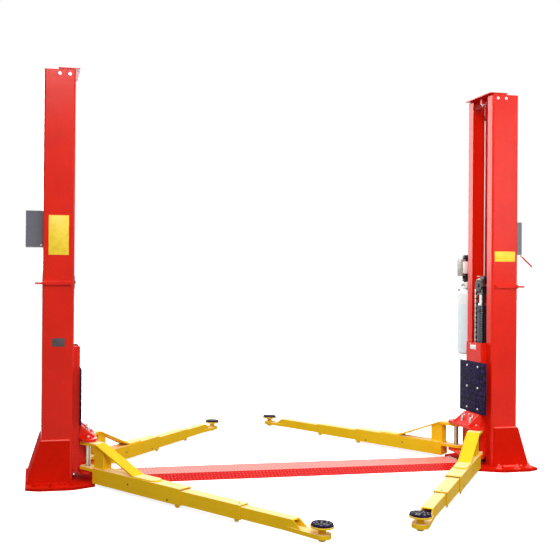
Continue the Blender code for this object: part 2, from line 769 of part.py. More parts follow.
def floor_cover():
    """Folded sheet over the hoses and cables between the posts."""
    slope = COVER_RISE / (COVER_FOOT_HALF - COVER_TOP_HALF)
    shift = COVER_SHEET * math.sqrt(1 + slope * slope) / slope
    bend = COVER_SHEET * (math.sqrt(1 + slope * slope) - 1) / slope
    outline = [
        (-COVER_FOOT_HALF, 0), (-COVER_TOP_HALF, COVER_RISE), (COVER_TOP_HALF, COVER_RISE),
        (COVER_FOOT_HALF, 0), (COVER_FOOT_HALF - shift, 0),
        (COVER_TOP_HALF - bend, COVER_RISE - COVER_SHEET),
        (-COVER_TOP_HALF + bend, COVER_RISE - COVER_SHEET), (-COVER_FOOT_HALF + shift, 0),
    ]
    return prism(outline, -COVER_END, COVER_END, "X")


def pump_bracket():
    """Column plate, shelf and valve block that carry the motor and the tank."""
    back = COLUMN_Y / 2 + SEAT
    foot = COLLAR_Z - STRAP_DROP + STRAP_TALL + BRACKET_LIFT
    plate = block((-BRACKET_HALF, back, foot), (BRACKET_HALF, back + SHELF_THICK, foot + BRACKET_TALL))
    shelf = block((UNIT_X - BLOCK_HALF / 2, back + SHELF_THICK / 2, foot),
                  (UNIT_X + BLOCK_HALF / 2, UNIT_Y, BLOCK_TOP - SHELF_THICK / 2))
    corners = [(UNIT_X - BLOCK_HALF, UNIT_Y - BLOCK_HALF), (UNIT_X + BLOCK_HALF, UNIT_Y - BLOCK_HALF),
               (UNIT_X + BLOCK_HALF, UNIT_Y + BLOCK_HALF), (UNIT_X - BLOCK_HALF, UNIT_Y + BLOCK_HALF)]
    valve = prism(fillet(corners, [PLATE_CORNER] * 4), TANK_TOP + SEAT, BLOCK_TOP)
    return smooth(combine(plate, joined=[shelf, valve]))


def oil_tank():
    wall = TANK_WALL
    low = TANK_TOP - TANK_TALL
    shoulder = TANK_TOP - TANK_NECK
    mouth = TANK_TOP - 2 * wall
    profile = [
        (0, low), (TANK_RADIUS - TANK_EDGE, low), (TANK_RADIUS, low + TANK_EDGE),
        (TANK_RADIUS, shoulder), (TANK_MOUTH, mouth), (TANK_MOUTH, TANK_TOP),
        (TANK_MOUTH - wall, TANK_TOP), (TANK_MOUTH - wall, mouth - wall / 2),
        (TANK_RADIUS - wall, shoulder - wall), (TANK_RADIUS - wall, low + TANK_EDGE + wall / 2),
        (TANK_RADIUS - TANK_EDGE - wall / 2, low + wall), (0, low + wall),
    ]
    return smooth(turned(profile, 24, centre=(UNIT_X, UNIT_Y, 0)))


def motor():
    low = BLOCK_TOP + SEAT
    high = low + MOTOR_TALL
    skirt = MOTOR_RADIUS - MOTOR_STEP
    body = turned([
        (0, low), (skirt, low), (skirt, low + MOTOR_SKIRT), (MOTOR_RADIUS, low + MOTOR_SKIRT),
        (MOTOR_RADIUS, high - MOTOR_DOME), (MOTOR_RADIUS - MOTOR_SKIRT, high), (0, high),
    ], 24, centre=(UNIT_X, UNIT_Y, 0))
    foot = BLOCK_TOP + SWITCH_LIFT
    switch = block((UNIT_X - SWITCH_OUT, UNIT_Y - SWITCH_HALF, foot),
                   (UNIT_X - MOTOR_RADIUS / 2, UNIT_Y + SWITCH_HALF, foot + SWITCH_TALL))
    return smooth(combine(body, joined=[switch]))


def release_handle():
    """Lever with a grip, drawn along -Z from its pivot."""
    grip = HANDLE_LENGTH - GRIP_LENGTH
    profile = [
        (0, -HANDLE_LENGTH), (GRIP_RADIUS, -HANDLE_LENGTH), (GRIP_RADIUS, -grip),
        (HANDLE_RADIUS, -grip), (HANDLE_RADIUS, 0), (0, 0),
    ]
    return smooth(turned(profile, 16))


def build_post(side, name):
    frame = post_frame(side)
    add("column_" + name, column(), RED, frame)
    add("base_plate_" + name, base_plate(), RED, frame)
    add("column_boot_" + name, boot(), RED, frame)
    add("top_cap_" + name, top_cap(), RED, frame)
    add("lock_cover_" + name, lock_cover(), GREY, frame)
    add("lift_cylinder_" + name, cylinder(), BLACK, frame)
    add("rod_yoke_" + name, yoke(), STEEL, frame)
    add("chain_sheave_" + name, sheave(), STEEL, frame)
    add("leaf_chain_" + name, chain(), STEEL, frame)
    add("equalizer_cable_" + name, cable(), STEEL, frame)
    add("carriage_" + name, carriage(), RED, frame)
    add("door_guard_" + name, door_guard(), RUBBER, frame)
    for row, depth in (("front", -1), ("rear", 1)):
        add("arm_pin_" + row + "_" + name, arm_pin(), CHROME, pin_frame(side, depth))


def build_arm(name):
    side, depth, heading, middle_shown, inner_shown = ARMS[name]
    angle = math.radians(heading)
    turn = math.atan2(depth * math.sin(angle), -side * math.cos(angle))
    pin = pin_frame(side, depth) @ Matrix.Rotation(turn, 4, "Z")
    middle = pin @ Matrix.Translation((OUTER_END + middle_shown, 0, 0))
    pad = middle @ Matrix.Translation((inner_shown, 0, 0))
    add("arm_outer_" + name, arm_outer(), YELLOW, pin)
    add("arm_middle_" + name, arm_middle(), YELLOW, middle)
    add("arm_inner_" + name, arm_inner(), YELLOW, pad)
    add("lift_pad_" + name, lift_pad(), YELLOW, pad)
    add("pad_rubber_" + name, pad_rubber(), RUBBER, pad)


def build_power_unit():
    frame = post_frame(1)
    add("pump_bracket", pump_bracket(), GREY, frame)
    add("oil_tank", oil_tank(), PLASTIC, frame)
    add("pump_motor", motor(), BLACK, frame)
    drop = HANDLE_RADIUS * math.sin(math.radians(HANDLE_ANGLE)) + SEAT
    pivot = Matrix.Translation((HANDLE_X, HANDLE_Y, COVER_LOW - drop))
    lean = Matrix.Rotation(-math.radians(HANDLE_ANGLE), 4, "Y")
    add("release_handle", release_handle(), RED, frame @ pivot @ lean)


def main():
    clear_scene()
    build_post(-1, "left")
    build_post(1, "right")
    for name in ARMS:
        build_arm(name)
    add("floor_cover", floor_cover(), RED, Matrix.Translation((MIDDLE_X, MIDDLE_Y, 0)))
    build_power_unit()


main()
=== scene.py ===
import math

import bmesh
import bpy
from mathutils import Matrix, Vector


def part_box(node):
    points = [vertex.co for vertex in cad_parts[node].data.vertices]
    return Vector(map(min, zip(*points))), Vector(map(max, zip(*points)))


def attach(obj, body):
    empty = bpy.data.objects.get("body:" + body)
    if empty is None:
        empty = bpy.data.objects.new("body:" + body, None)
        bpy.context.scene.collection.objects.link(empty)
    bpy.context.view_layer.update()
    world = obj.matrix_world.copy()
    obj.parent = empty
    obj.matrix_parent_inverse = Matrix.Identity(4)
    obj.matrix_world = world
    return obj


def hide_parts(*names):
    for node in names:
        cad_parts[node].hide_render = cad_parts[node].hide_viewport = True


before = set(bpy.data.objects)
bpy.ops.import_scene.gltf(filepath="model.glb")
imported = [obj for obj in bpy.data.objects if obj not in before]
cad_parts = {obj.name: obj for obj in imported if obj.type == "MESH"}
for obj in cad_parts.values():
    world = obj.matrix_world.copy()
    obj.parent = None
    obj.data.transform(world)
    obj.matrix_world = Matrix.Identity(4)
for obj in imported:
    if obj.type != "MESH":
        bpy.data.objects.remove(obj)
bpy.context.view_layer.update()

# Where the lift is photographed: a pale studio floor that runs white into the distance,
# a level camera a little to the left of the posts at chest height, and broad soft light
# from above and in front.
scene = bpy.context.scene
middle = Vector((-0.0500, -0.0386, 0.0))
turn_right = 0.1959
tilt_up = 0.0047
roll = 0.0081
camera_data = bpy.data.cameras.new("camera")
camera_data.sensor_width = 36.0
camera_data.lens = 52.778
camera_data.shift_x = 0.15094
camera_data.shift_y = -0.00259
camera_data.clip_end = 200.0
camera = bpy.data.objects.new("camera", camera_data)
camera.location = middle + Vector((-1.8509, -5.8539, 1.3908))
level_view = Matrix.Rotation(math.pi / 2 + tilt_up, 3, "X")
aim = Matrix.Rotation(-turn_right, 3, "Z") @ level_view @ Matrix.Rotation(roll, 3, "Z")
camera.rotation_euler = aim.to_euler()
scene.collection.objects.link(camera)
scene.camera = camera
scene.view_settings.view_transform = "Standard"


def wire(tree, kind, sockets=(), **settings):
    """Adds a shader node with its settings, and sets or links its inputs."""
    part = tree.nodes.new("ShaderNode" + kind)
    for name, value in settings.items():
        setattr(part, name, value)
    for name, value in dict(sockets).items():
        socket = part.inputs[name]
        if isinstance(value, bpy.types.NodeSocket):
            tree.links.new(value, socket)
        else:
            socket.default_value = value
    return part


def paint(code):
    """A colour from its sRGB hex code, turned to linear."""
    levels = [int(code[start:start + 2], 16) / 255 for start in (1, 3, 5)]
    linear = [level / 12.92 if level < 0.04045 else ((level + 0.055) / 1.055) ** 2.4 for level in levels]
    return (*linear, 1.0)


def bare_finish(name):
    """Starts a finish: the material, its empty tree and the piece's own coordinates."""
    material = bpy.data.materials.new(name)
    material.use_nodes = True
    tree = material.node_tree
    tree.nodes.clear()
    return material, tree, wire(tree, "TexCoord").outputs["Object"]


# Painted concrete: matt and even, it reads as plain white here. Only a trace of the lift's
# shadow shows on it close by, and none from 14 m on.
concrete, tree, place = bare_finish("painted_concrete")
seen = wire(tree, "LightPath")
rays = {0: seen.outputs["Is Camera Ray"], 1: seen.outputs["Is Glossy Ray"]}
direct = wire(tree, "Math", rays, operation="MAXIMUM")
lit = wire(tree, "BsdfDiffuse", {"Color": paint("#E4E4E2"), "Roughness": 0.9})
dull = wire(tree, "BsdfDiffuse", {"Color": paint("#7C7C7A"), "Roughness": 0.9})
far = wire(tree, "VectorMath", {0: place}, operation="LENGTH")
fade = wire(tree, "MapRange", {"Value": far.outputs["Value"], 1: 4.0, 2: 14.0, 3: 0.82, 4: 1.0})
glow = wire(tree, "Emission", {"Color": paint("#FFFFFF"), "Strength": fade.outputs[0]})
both = wire(tree, "AddShader", {0: lit.outputs[0], 1: glow.outputs[0]})
shown = wire(tree, "MixShader", {0: direct.outputs[0], 1: dull.outputs[0], 2: both.outputs[0]})
wire(tree, "OutputMaterial", {"Surface": shown.outputs[0]})

floor_half = 60
floor_mesh = bmesh.new()
for x, y in ((-1, -1), (1, -1), (1, 1), (-1, 1)):
    floor_mesh.verts.new((x * floor_half, y * floor_half, 0.0))
floor_mesh.faces.new(floor_mesh.verts)
floor_data = bpy.data.meshes.new("studio_floor")
floor_mesh.to_mesh(floor_data)
floor_mesh.free()
floor_data.materials.append(concrete)
floor = bpy.data.objects.new("studio_floor", floor_data)
scene.collection.objects.link(floor)

world = bpy.data.worlds.new("studio")
scene.world = world
world.use_nodes = True
tree = world.node_tree
tree.nodes.clear()
seen = wire(tree, "LightPath")
rays = {0: seen.outputs["Is Camera Ray"], 1: seen.outputs["Is Glossy Ray"]}
sharp = wire(tree, "Math", rays, operation="MAXIMUM")
rays = {0: sharp.outputs[0], 1: seen.outputs["Is Transmission Ray"]}
clear = wire(tree, "Math", rays, operation="MAXIMUM")
soft = wire(tree, "Background", {"Color": paint("#FFFFFF"), "Strength": 0.32})
white = wire(tree, "Background", {"Color": paint("#FFFFFF"), "Strength": 1.0})
sky = wire(tree, "MixShader", {0: clear.outputs[0], 1: soft.outputs[0], 2: white.outputs[0]})
wire(tree, "OutputWorld", {"Surface": sky.outputs[0]})

for name, place, aim, size, watts, spread in (
        ("overhead_softbox", (0.3, -0.6, 6.2), (0.0, 0.0, 0.0), 6.0, 260.0, 180),
        ("key_softbox", (0.9, -7.2, 3.0), (0.0, 0.0, 2.0), 1.8, 14.0, 90),
        ("left_softbox", (-1.7, -6.0, 5.2), (1.0, 0.0, 1.4), 1.6, 72.0, 80),
        ("fill_softbox", (4.6, -4.8, 2.8), (1.6, 0.0, 2.0), 2.4, 16.0, 90),
        ("rear_left_softbox", (-2.4, 6.6, 3.5), (1.4, 0.0, 1.6), 4.0, 340.0, 180),
        ("rear_right_softbox", (4.0, 5.6, 4.2), (0.6, 0.0, 1.0), 3.0, 90.0, 180)):
    lamp_data = bpy.data.lights.new(name, "AREA")
    lamp_data.shape = "SQUARE"
    lamp_data.size = size
    lamp_data.energy = watts
    lamp_data.spread = math.radians(spread)
    lamp = bpy.data.objects.new(name, lamp_data)
    lamp.location = middle + Vector(place)
    lamp.rotation_euler = (Vector(aim) - Vector(place)).to_track_quat("-Z", "Y").to_euler()
    scene.collection.objects.link(lamp)


# Floor plates: 18 mm steel flame cut to shape, powder coated with the post. The post's foot
# is welded on inside a boot of doubler plates and a sloping outer plate, and coated anchor
# bolts hold the plate to the slab.

def powder_coat(name, code, shade, sheen=0.18, bend=0.0, rough=0.18, film_and_sheen=0.0):
    """Polyester powder baked on steel: even colour, soft gloss and a faint orange peel.

    The peel is about 2.5 mm across on the real coat, and a 9 mm swell is added so that it
    shows from afar. A bend radius softens the sharp corners of folded sheet, and a pale cream
    sheen is painted on the faces that look up, where light from above rakes them."""
    material, tree, place = bare_finish(name)
    cloud = wire(tree, "TexNoise", {"Vector": place, "Scale": 1000 / 240, "Detail": 3.0, "Roughness": 0.6})
    grain = wire(tree, "TexNoise", {"Vector": place, "Scale": 1000 / 9, "Detail": 2.0, "Roughness": 0.5})
    fine = wire(tree, "TexNoise", {"Vector": place, "Scale": 1000 / 2.5, "Detail": 1.0})
    spread = wire(tree, "MapRange", {"Value": cloud.outputs["Fac"], 1: 0.35, 2: 0.65, 3: 0.0, 4: 0.35})
    speck = wire(tree, "MapRange", {"Value": grain.outputs["Fac"], 1: 0.38, 2: 0.62, 3: 0.0, 4: 0.28})
    amount = wire(tree, "Math", {0: spread.outputs[0], 1: speck.outputs[0]}, operation="ADD")
    hues = {0: amount.outputs[0], 6: paint(code), 7: paint(shade)}
    colour = wire(tree, "Mix", hues, data_type="RGBA")
    # A pale cream is painted on faces that look up, as the sheen of light raking them from above.
    if film_and_sheen > 0:
        rise = wire(tree, "SeparateXYZ", {0: wire(tree, "NewGeometry").outputs["Normal"]})
        painted_top_sheen = wire(tree, "MapRange", {"Value": rise.outputs[2], 1: 0.97, 2: 0.995, 3: 0.0, 4: film_and_sheen})
        hues = {0: painted_top_sheen.outputs[0], 6: colour.outputs[2], 7: paint("#FFF8E8")}
        colour = wire(tree, "Mix", hues, data_type="RGBA")
    dulling = {"Value": grain.outputs["Fac"], 1: 0.3, 2: 0.7, 3: rough, 4: rough + 0.12}
    gloss = wire(tree, "MapRange", dulling)
    ripple = wire(tree, "Bump", {"Strength": 0.25, "Distance": 0.0004, "Height": fine.outputs["Fac"]})
    if bend > 0:
        fold = wire(tree, "Bevel", {"Radius": bend}, samples=4)
        tree.links.new(fold.outputs[0], ripple.inputs["Normal"])
    swell = wire(tree, "Bump", {"Strength": 0.25, "Distance": 0.0012, "Height": grain.outputs["Fac"],
                                "Normal": ripple.outputs[0]})
    shader = wire(tree, "BsdfPrincipled", {"Base Color": colour.outputs[2], "Roughness": gloss.outputs[0],
                                           "Normal": swell.outputs[0], "Specular IOR Level": sheen})
    wire(tree, "OutputMaterial", {"Surface": shader.outputs[0]})
    return material


# The plates' coat is matt and a little darker than the posts'. The coat on proud beads and
# bolt heads is painted pale, as a highlight where they catch the light.
dull_coat = powder_coat("red_powder_coat_matt_darker", "#E01E0A", "#C41406", sheen=0.03, rough=0.75)
highlight_bead_coat = powder_coat("red_powder_coat_painted_pale_highlight", "#FF6A5C", "#F25446")


def dress(material, *names):
    """Gives the frame's own pieces their finish."""
    for name in names:
        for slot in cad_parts[name].material_slots:
            slot.material = material


def drawn(name, shape, body, *materials, angle=30.0):
    """Turns a bmesh into a piece that rides on a body."""
    bmesh.ops.recalc_face_normals(shape, faces=shape.faces)
    mesh = bpy.data.meshes.new(name)
    shape.to_mesh(mesh)
    shape.free()
    for material in materials:
        mesh.materials.append(material)
    mesh.shade_smooth()
    mesh.set_sharp_from_angle(angle=math.radians(angle))
    piece = bpy.data.objects.new(name, mesh)
    scene.collection.objects.link(piece)
    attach(piece, body)
    return piece


def extruded(shape, outline, low, high, place=Matrix.Identity(4), edge=0.0, slot=0):
    """Adds an outline extruded along Z, with its edges rounded."""
    bottom = [shape.verts.new(place @ Vector((x, y, low))) for x, y in outline]
    top = [shape.verts.new(place @ Vector((x, y, high))) for x, y in outline]
    count = len(outline)
    faces = [shape.faces.new(bottom[::-1]), shape.faces.new(top)]
    for index in range(count):
        after = (index + 1) % count
        faces.append(shape.faces.new((bottom[index], bottom[after], top[after], top[index])))
    for face in faces:
        face.material_index = slot
    if edge > 0:
        edges = list(dict.fromkeys(item for face in faces for item in face.edges))
        made = bmesh.ops.bevel(shape, geom=edges, offset=edge, segments=2, profile=0.5, affect="EDGES")
        for face in made["faces"]:
            face.material_index = slot


def slab(shape, low, high, place=Matrix.Identity(4), edge=0.0, slot=0):
    """Adds a box between two corners, with rounded edges."""
    outline = [(low[0], low[1]), (high[0], low[1]), (high[0], high[1]), (low[0], high[1])]
    extruded(shape, outline, low[2], high[2], place, edge, slot)


def turned(shape, profile, sides, place=Matrix.Identity(4), slot=0):
    """Adds a profile of (radius, level) points turned about Z, closed where it meets the axis."""
    on_axis = 1e-6
    rings = []
    for radius, level in profile:
        if radius < on_axis:
            rings.append([shape.verts.new(place @ Vector((0, 0, level)))])
            continue
        ring = []
        for step in range(sides):
            angle = math.tau * step / sides
            spot = Vector((radius * math.cos(angle), radius * math.sin(angle), level))
            ring.append(shape.verts.new(place @ spot))
        rings.append(ring)
    for ring, other in zip(rings, rings[1:]):
        for step in range(sides):
            after = (step + 1) % sides
            if len(ring) == 1:
                face = shape.faces.new((ring[0], other[step], other[after]))
            elif len(other) == 1:
                face = shape.faces.new((ring[step], ring[after], other[0]))
            else:
                face = shape.faces.new((ring[step], ring[after], other[after], other[step]))
            face.material_index = slot


def bolt(shape, place, across, slot=0, washer=True):
    """Adds a hexagon head with its chamfer, standing on a washer."""
    base = 0.0
    corner = across / math.sqrt(3)
    if washer:
        base = across * 0.12
        rim = across * 0.95
        disc = [(0, 0), (rim, 0), (rim, base * 0.7), (across * 0.9, base), (0, base)]
        turned(shape, disc, 20, place, slot)
    high = base + across * 0.55
    head = [(0, base), (corner * 0.96, base), (corner, base + across * 0.05), (corner, high - across * 0.08),
            (corner * 0.86, high), (0, high)]
    turned(shape, head, 6, place, slot)


def skinned(shape, rings, slot=0, capped=True, looped=False):
    """Joins rings of points into a skin, which is capped or runs back to its first ring."""
    count = len(rings[0])
    for ring, after in zip(rings, rings[1:] + rings[:1] if looped else rings[1:]):
        for corner in range(count):
            ahead = (corner + 1) % count
            face = shape.faces.new((ring[corner], ring[ahead], after[ahead], after[corner]))
            face.material_index = slot
    if capped:
        for ring in (rings[0][::-1], rings[-1]):
            shape.faces.new(ring).material_index = slot


def weld(shape, place, start, end, radius, slot=0):
    """Adds a rippled fillet bead between two points, with a ripple about every 6 mm."""
    start = place @ Vector(start)
    end = place @ Vector(end)
    along = (end - start).normalized()
    side = along.orthogonal().normalized()
    other = along.cross(side)
    count = max(3, int((end - start).length / 0.006))
    rings = []
    for step in range(count + 1):
        centre = start.lerp(end, step / count)
        swell = radius * (1.0 + 0.16 * math.sin(step * 2.1)) * (0.55 if step in (0, count) else 1.0)
        rings.append([shape.verts.new(centre + swell * (side * math.cos(turn) + other * math.sin(turn)))
                      for turn in [math.tau * corner / 6 for corner in range(6)]])
    skinned(shape, rings, slot)


# Each post has a frame of its own on the floor, with +X outward from the other post and the
# origin 107 mm behind its lips. The left post is the right one turned half a turn.
lip_to_centre = 0.107
posts = {}
for side, sign in (("left", -1.0), ("right", 1.0)):
    low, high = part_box("column_" + side)
    lip = low[0] if sign > 0 else high[0]
    turn = Matrix.Rotation(0.0 if sign > 0 else math.pi, 4, "Z")
    centre = (lip + sign * lip_to_centre, (low[1] + high[1]) / 2, 0.0)
    posts[side] = Matrix.Translation(centre) @ turn

plate_top = 0.018
anchor_spots = ((0.150, 0.270), (0.040, 0.295), (-0.098, 0.274))
anchor_across = 0.026
stud = 0.0075
stud_top = 0.032
bar_inner = 0.215
bar_outer = 0.240
bar_top = 0.028
boot_bead = 0.020
boot_face = 0.1885
boot_edge = 0.1865
boot_outer = 0.203
for side, post in posts.items():
    dress(dull_coat, "base_plate_" + side, "column_boot_" + side)
    shape = bmesh.new()
    for depth in (-1, 1):
        for x, y in anchor_spots:
            foot = post @ Matrix.Translation((x, depth * y, plate_top))
            bolt(shape, foot, anchor_across)
            rod_end = [(0, 0.016), (stud, 0.016), (stud, 0.030), (0.006, stud_top), (0, stud_top)]
            turned(shape, rod_end, 12, foot)
        near, far = sorted((depth * bar_inner, depth * bar_outer))
        slab(shape, (-0.030, near, plate_top), (0.090, far, bar_top), post, 0.002)
        for x in (-0.055, 0.115):
            bolt(shape, post @ Matrix.Translation((x, depth * 0.228, plate_top)), 0.018, washer=False)
        face = depth * boot_face
        weld(shape, post, (-0.084, face, boot_bead), (0.195, face, boot_bead), 0.0045, 1)
        edge = depth * boot_edge
        weld(shape, post, (0.1160, edge, 0.290), (0.2000, edge, 0.026), 0.0026, 1)
    weld(shape, post, (boot_outer, -0.180, boot_bead), (boot_outer, 0.180, boot_bead), 0.0045, 1)
    weld(shape, post, (0.111, -0.178, 0.304), (0.111, 0.178, 0.304), 0.0040, 1)
    # Only on the right plate are the bolt heads and bars painted pale as highlights.
    heads = highlight_bead_coat if side == "right" else dull_coat
    drawn("plate_fittings_" + side, shape, "frame", heads, dull_coat)
    # The beads along each boot's top are painted pale as a highlight.
    shape = bmesh.new()
    for depth in (-1, 1):
        edge = depth * 0.1830
        weld(shape, post, (-0.084, edge, 0.305), (0.112, edge, 0.305), 0.0062)
    drawn("boot_top_beads_" + side, shape, "frame", highlight_bead_coat)

# Columns: one 6.5 mm sheet pressed to a lipped channel. A collar of flat bar is welded round
# it half way up, and its straps are bolted through the near and far faces. A bare plate or
# two are stuck on each.

# The coat on the pressed sheet looks the same as elsewhere, but the bends catch a soft line.
red_coat = powder_coat("red_powder_coat", "#E8220C", "#CC1808")
folded_coat = powder_coat("red_powder_coat_on_folded_sheet", "#E8220C", "#CC1808", bend=0.008)


def clouded(name, tones, clouds, gloss, spread=(0.0, 1.0), grain=None, relief=None, metal=0.0, sheen=0.5,
            filmed=False):
    """A finish whose two tones drift in soft clouds, with a wavering gloss and a fine relief.

    Clouds are a size in mm, a detail and a roughness, and grain is a size and a detail. The
    gloss and the relief follow the grain, or the clouds where there is none. On a filmed
    surface the gloss follows the clouds all the same."""
    material, tree, place = bare_finish(name)
    size, detail, mix = clouds
    soft = wire(tree, "TexNoise", {"Vector": place, "Scale": 1000 / size, "Detail": detail, "Roughness": mix})
    fine = soft
    low, high = (0.3, 0.7) if grain else (0.0, 1.0)
    if grain:
        fine = wire(tree, "TexNoise", {"Vector": place, "Scale": 1000 / grain[0], "Detail": grain[1]})
    tint = wire(tree, "MapRange", {"Value": soft.outputs["Fac"], 1: spread[0], 2: spread[1]})
    hues = {0: tint.outputs[0], 6: paint(tones[0]), 7: paint(tones[1])}
    colour = wire(tree, "Mix", hues, data_type="RGBA")
    glossy = (soft if filmed else fine).outputs["Fac"]
    waver = wire(tree, "MapRange", {"Value": glossy, 1: low, 2: high, 3: gloss[0], 4: gloss[1]})
    shader = wire(tree, "BsdfPrincipled", {"Base Color": colour.outputs[2], "Roughness": waver.outputs[0],
                                           "Metallic": metal, "Specular IOR Level": sheen})
    if relief:
        bump = wire(tree, "Bump", {"Strength": relief[0], "Distance": relief[1],
                                   "Height": fine.outputs["Fac"]})
        tree.links.new(bump.outputs[0], shader.inputs["Normal"])
    wire(tree, "OutputMaterial", {"Surface": shader.outputs[0]})
    return material


# Bright zinc plate, dipped in bulk: a pale cool metal, cloudy over some 14 mm.
zinc = clouded("bright_zinc_plate", ("#D9DCDD", "#B9BEC2"), (14, 3.0, 0.6), (0.24, 0.40),
               spread=(0.35, 0.65), grain=(3, 2.0), relief=(0.15, 0.0004), metal=1.0)


def printed_sheet(name, code, shade):
    """Printed vinyl on thin aluminium: satin, with faint scuffs and a slight mottle."""
    return clouded(name, (code, shade), (30, 4.0, 0.6), (0.32, 0.48), spread=(0.35, 0.65), grain=(4, 2.0),
                   relief=(0.1, 0.0003))


yellow_sheet = printed_sheet("bare_yellow_sheet", "#FFDE30", "#F4CC28")
dark_sheet = printed_sheet("bare_dark_sheet", "#3B3434", "#2C2626")
white_sheet = printed_sheet("bare_white_sheet", "#ECEDEB", "#DEDFDC")


def facing(place, point, normal):
    """A frame at a point of another frame, with its Z along a direction there."""
    z = (place.to_3x3() @ Vector(normal)).normalized()
    x = Vector((0.0, 0.0, 1.0)).cross(z).normalized()
    turn = Matrix((x, z.cross(x), z)).transposed().to_4x4()
    return Matrix.Translation(place @ Vector(point)) @ turn


strap_face = 0.1922
strap_level = 1.377
bead_line = 0.1815
back_line = 0.1085
back_half = 0.176
for side, post in posts.items():
    dress(folded_coat, "column_" + side)
    shape = bmesh.new()
    for depth in (-1, 1):
        for x in (-0.070, 0.092):
            head = facing(post, (x, depth * strap_face, strap_level), (0, depth, 0))
            bolt(shape, head, 0.011, washer=False)
    drawn("collar_bolts_" + side, shape, "frame", red_coat)

    shape = bmesh.new()
    for depth in (-1, 1):
        line = depth * bead_line
        for level in (1.3625, 1.3915):
            weld(shape, post, (-0.082, line, level), (0.104, line, level), 0.0028)
    for level in (1.3695, 1.3845):
        weld(shape, post, (back_line, -back_half, level), (back_line, back_half, level), 0.0032)
    drawn("collar_welds_" + side, shape, "frame", red_coat)

plate_seat = 0.1801
plate_thick = 0.0012
rim = 0.004
rim_top = 0.0018
plates = [("left", (-0.067, 0.069), (1.572, 1.842), yellow_sheet, "instruction_plate_left"),
          ("left", (-0.046, 0.041), (0.946, 1.003), dark_sheet, "rating_plate_left"),
          ("right", (-0.085, 0.084), (1.568, 1.645), yellow_sheet, "notice_plate_right")]
for side, across, levels, material, name in plates:
    depth = -1 if side == "right" else 1
    flat = facing(posts[side], (sum(across) / 2, depth * plate_seat, sum(levels) / 2), (0, depth, 0))
    half_x = (across[1] - across[0]) / 2
    half_z = (levels[1] - levels[0]) / 2
    shape = bmesh.new()
    slab(shape, (-half_x, -half_z, 0.0), (half_x, half_z, plate_thick), flat, 0.0004)
    for low, high in (((-half_x, -half_z), (half_x, -half_z + rim)),
                      ((-half_x, half_z - rim), (half_x, half_z)),
                      ((-half_x, -half_z + rim), (-half_x + rim, half_z - rim)),
                      ((half_x - rim, -half_z + rim), (half_x, half_z - rim))):
        slab(shape, (*low, plate_thick), (*high, rim_top), flat, 0.0002)
    drawn(name, shape, "frame", material)

# Top caps: 6 mm sheet welded to two flanges that slip inside the column's sides, held by two
# zinc bolts a side. Small blocks under each carry the equalizer cables' threaded ends.
cap_under = 2.8478
block_half = 0.016
threaded_ends = ((-0.062, 2.816), (-0.089, 2.800))
blocks = ((-0.076, -0.048, 2.816), (-0.102, -0.076, 2.800))
for side, post in posts.items():
    dress(red_coat, "top_cap_" + side)
    shape = bmesh.new()
    for depth in (-1, 1):
        for x in (-0.066, 0.002):
            bolt(shape, facing(post, (x, depth * plate_seat, 2.812), (0, depth, 0)), 0.011)
    for x, z in threaded_ends:
        bolt(shape, post @ Matrix.Translation((x, 0.0, z)) @ Matrix.Rotation(math.pi, 4, "X"), 0.015)
        thread = [(0, z - 0.018), (0.0045, z - 0.017), (0.0045, z + 0.030), (0, z + 0.030)]
        turned(shape, thread, 12, post @ Matrix.Translation((x, 0.0, 0.0)))
    drawn("cap_bolts_" + side, shape, "frame", zinc)

    shape = bmesh.new()
    for inner, outer, level in blocks:
        slab(shape, (inner, -block_half, level), (outer, block_half, cap_under), post, 0.002)
    slab(shape, (-0.052, 0.020, 2.690), (-0.026, 0.030, cap_under), post, 0.002)
    drawn("cable_bracket_" + side, shape, "frame", red_coat)

# Lock covers: pressed 2 mm steel boxes over the safety lock on each column's back, painted
# a flat mid grey with a cool cast, and held by a small plated screw low on each side.
grey_coat = powder_coat("grey_powder_coat", "#767B84", "#686D76")

for side, post in posts.items():
    dress(grey_coat, "lock_cover_" + side)
    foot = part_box("lock_cover_" + side)[0][2]
    shape = bmesh.new()
    for depth in (-1, 1):
        head = facing(post, (0.1175, depth * 0.0560, foot + 0.014), (0, depth, 0))
        turned(shape, [(0, 0), (0.0058, 0), (0.0058, 0.0014), (0.0038, 0.0034), (0, 0.0036)], 14, head)
    drawn("lock_cover_screws_" + side, shape, "frame", zinc)

# Release handle: a zinc-plated rod with a hard red vinyl grip, screwed into a brass nut
# under the right lock cover.

# Turned brass: warm yellow metal, tarnished in 8 mm patches.
brass = clouded("turned_brass", ("#D8B45A", "#A9803A"), (8, 3.0, 0.5), (0.22, 0.42), metal=1.0)

rod_thick = 0.0044
nut_thick = 0.0070
grip_thick = 0.0055
groove = 0.0050
grip_end = 0.1350
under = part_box("lock_cover_right")[0][2] - 0.0037
lean = math.radians(49)
rod = facing(posts["right"], (0.218, -0.040, under), (math.sin(lean), 0.0, -math.cos(lean)))
shape = bmesh.new()
turned(shape, [(0, 0.001), (0.0038, 0.001), (rod_thick, 0.002), (rod_thick, 0.026), (0, 0.026)], 16, rod, 0)
nut = [(0, 0.006), (0.0064, 0.006), (nut_thick, 0.008), (nut_thick, 0.015), (0.0064, 0.017), (0, 0.017)]
turned(shape, nut, 6, rod, 1)
grip = [(0, 0.020), (0.0042, 0.020), (0.0053, 0.023)]
for ridge in range(12):
    level = 0.026 + ridge * 0.0085
    grip += [(grip_thick, level), (grip_thick, level + 0.0055)]
    grip += [(groove, level + 0.0066), (groove, level + 0.0074)]
grip += [(grip_thick, 0.1298), (grip_thick, 0.1345), (0.0051, grip_end), (0, grip_end)]
turned(shape, grip, 18, rod, 2)
handle = drawn("release_lever", shape, "handle", zinc, brass, red_coat)
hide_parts("release_handle")

# Lift cylinders: honed tube painted black, with a welded foot, a screwed plated gland at the
# top and an oil port low on the side.

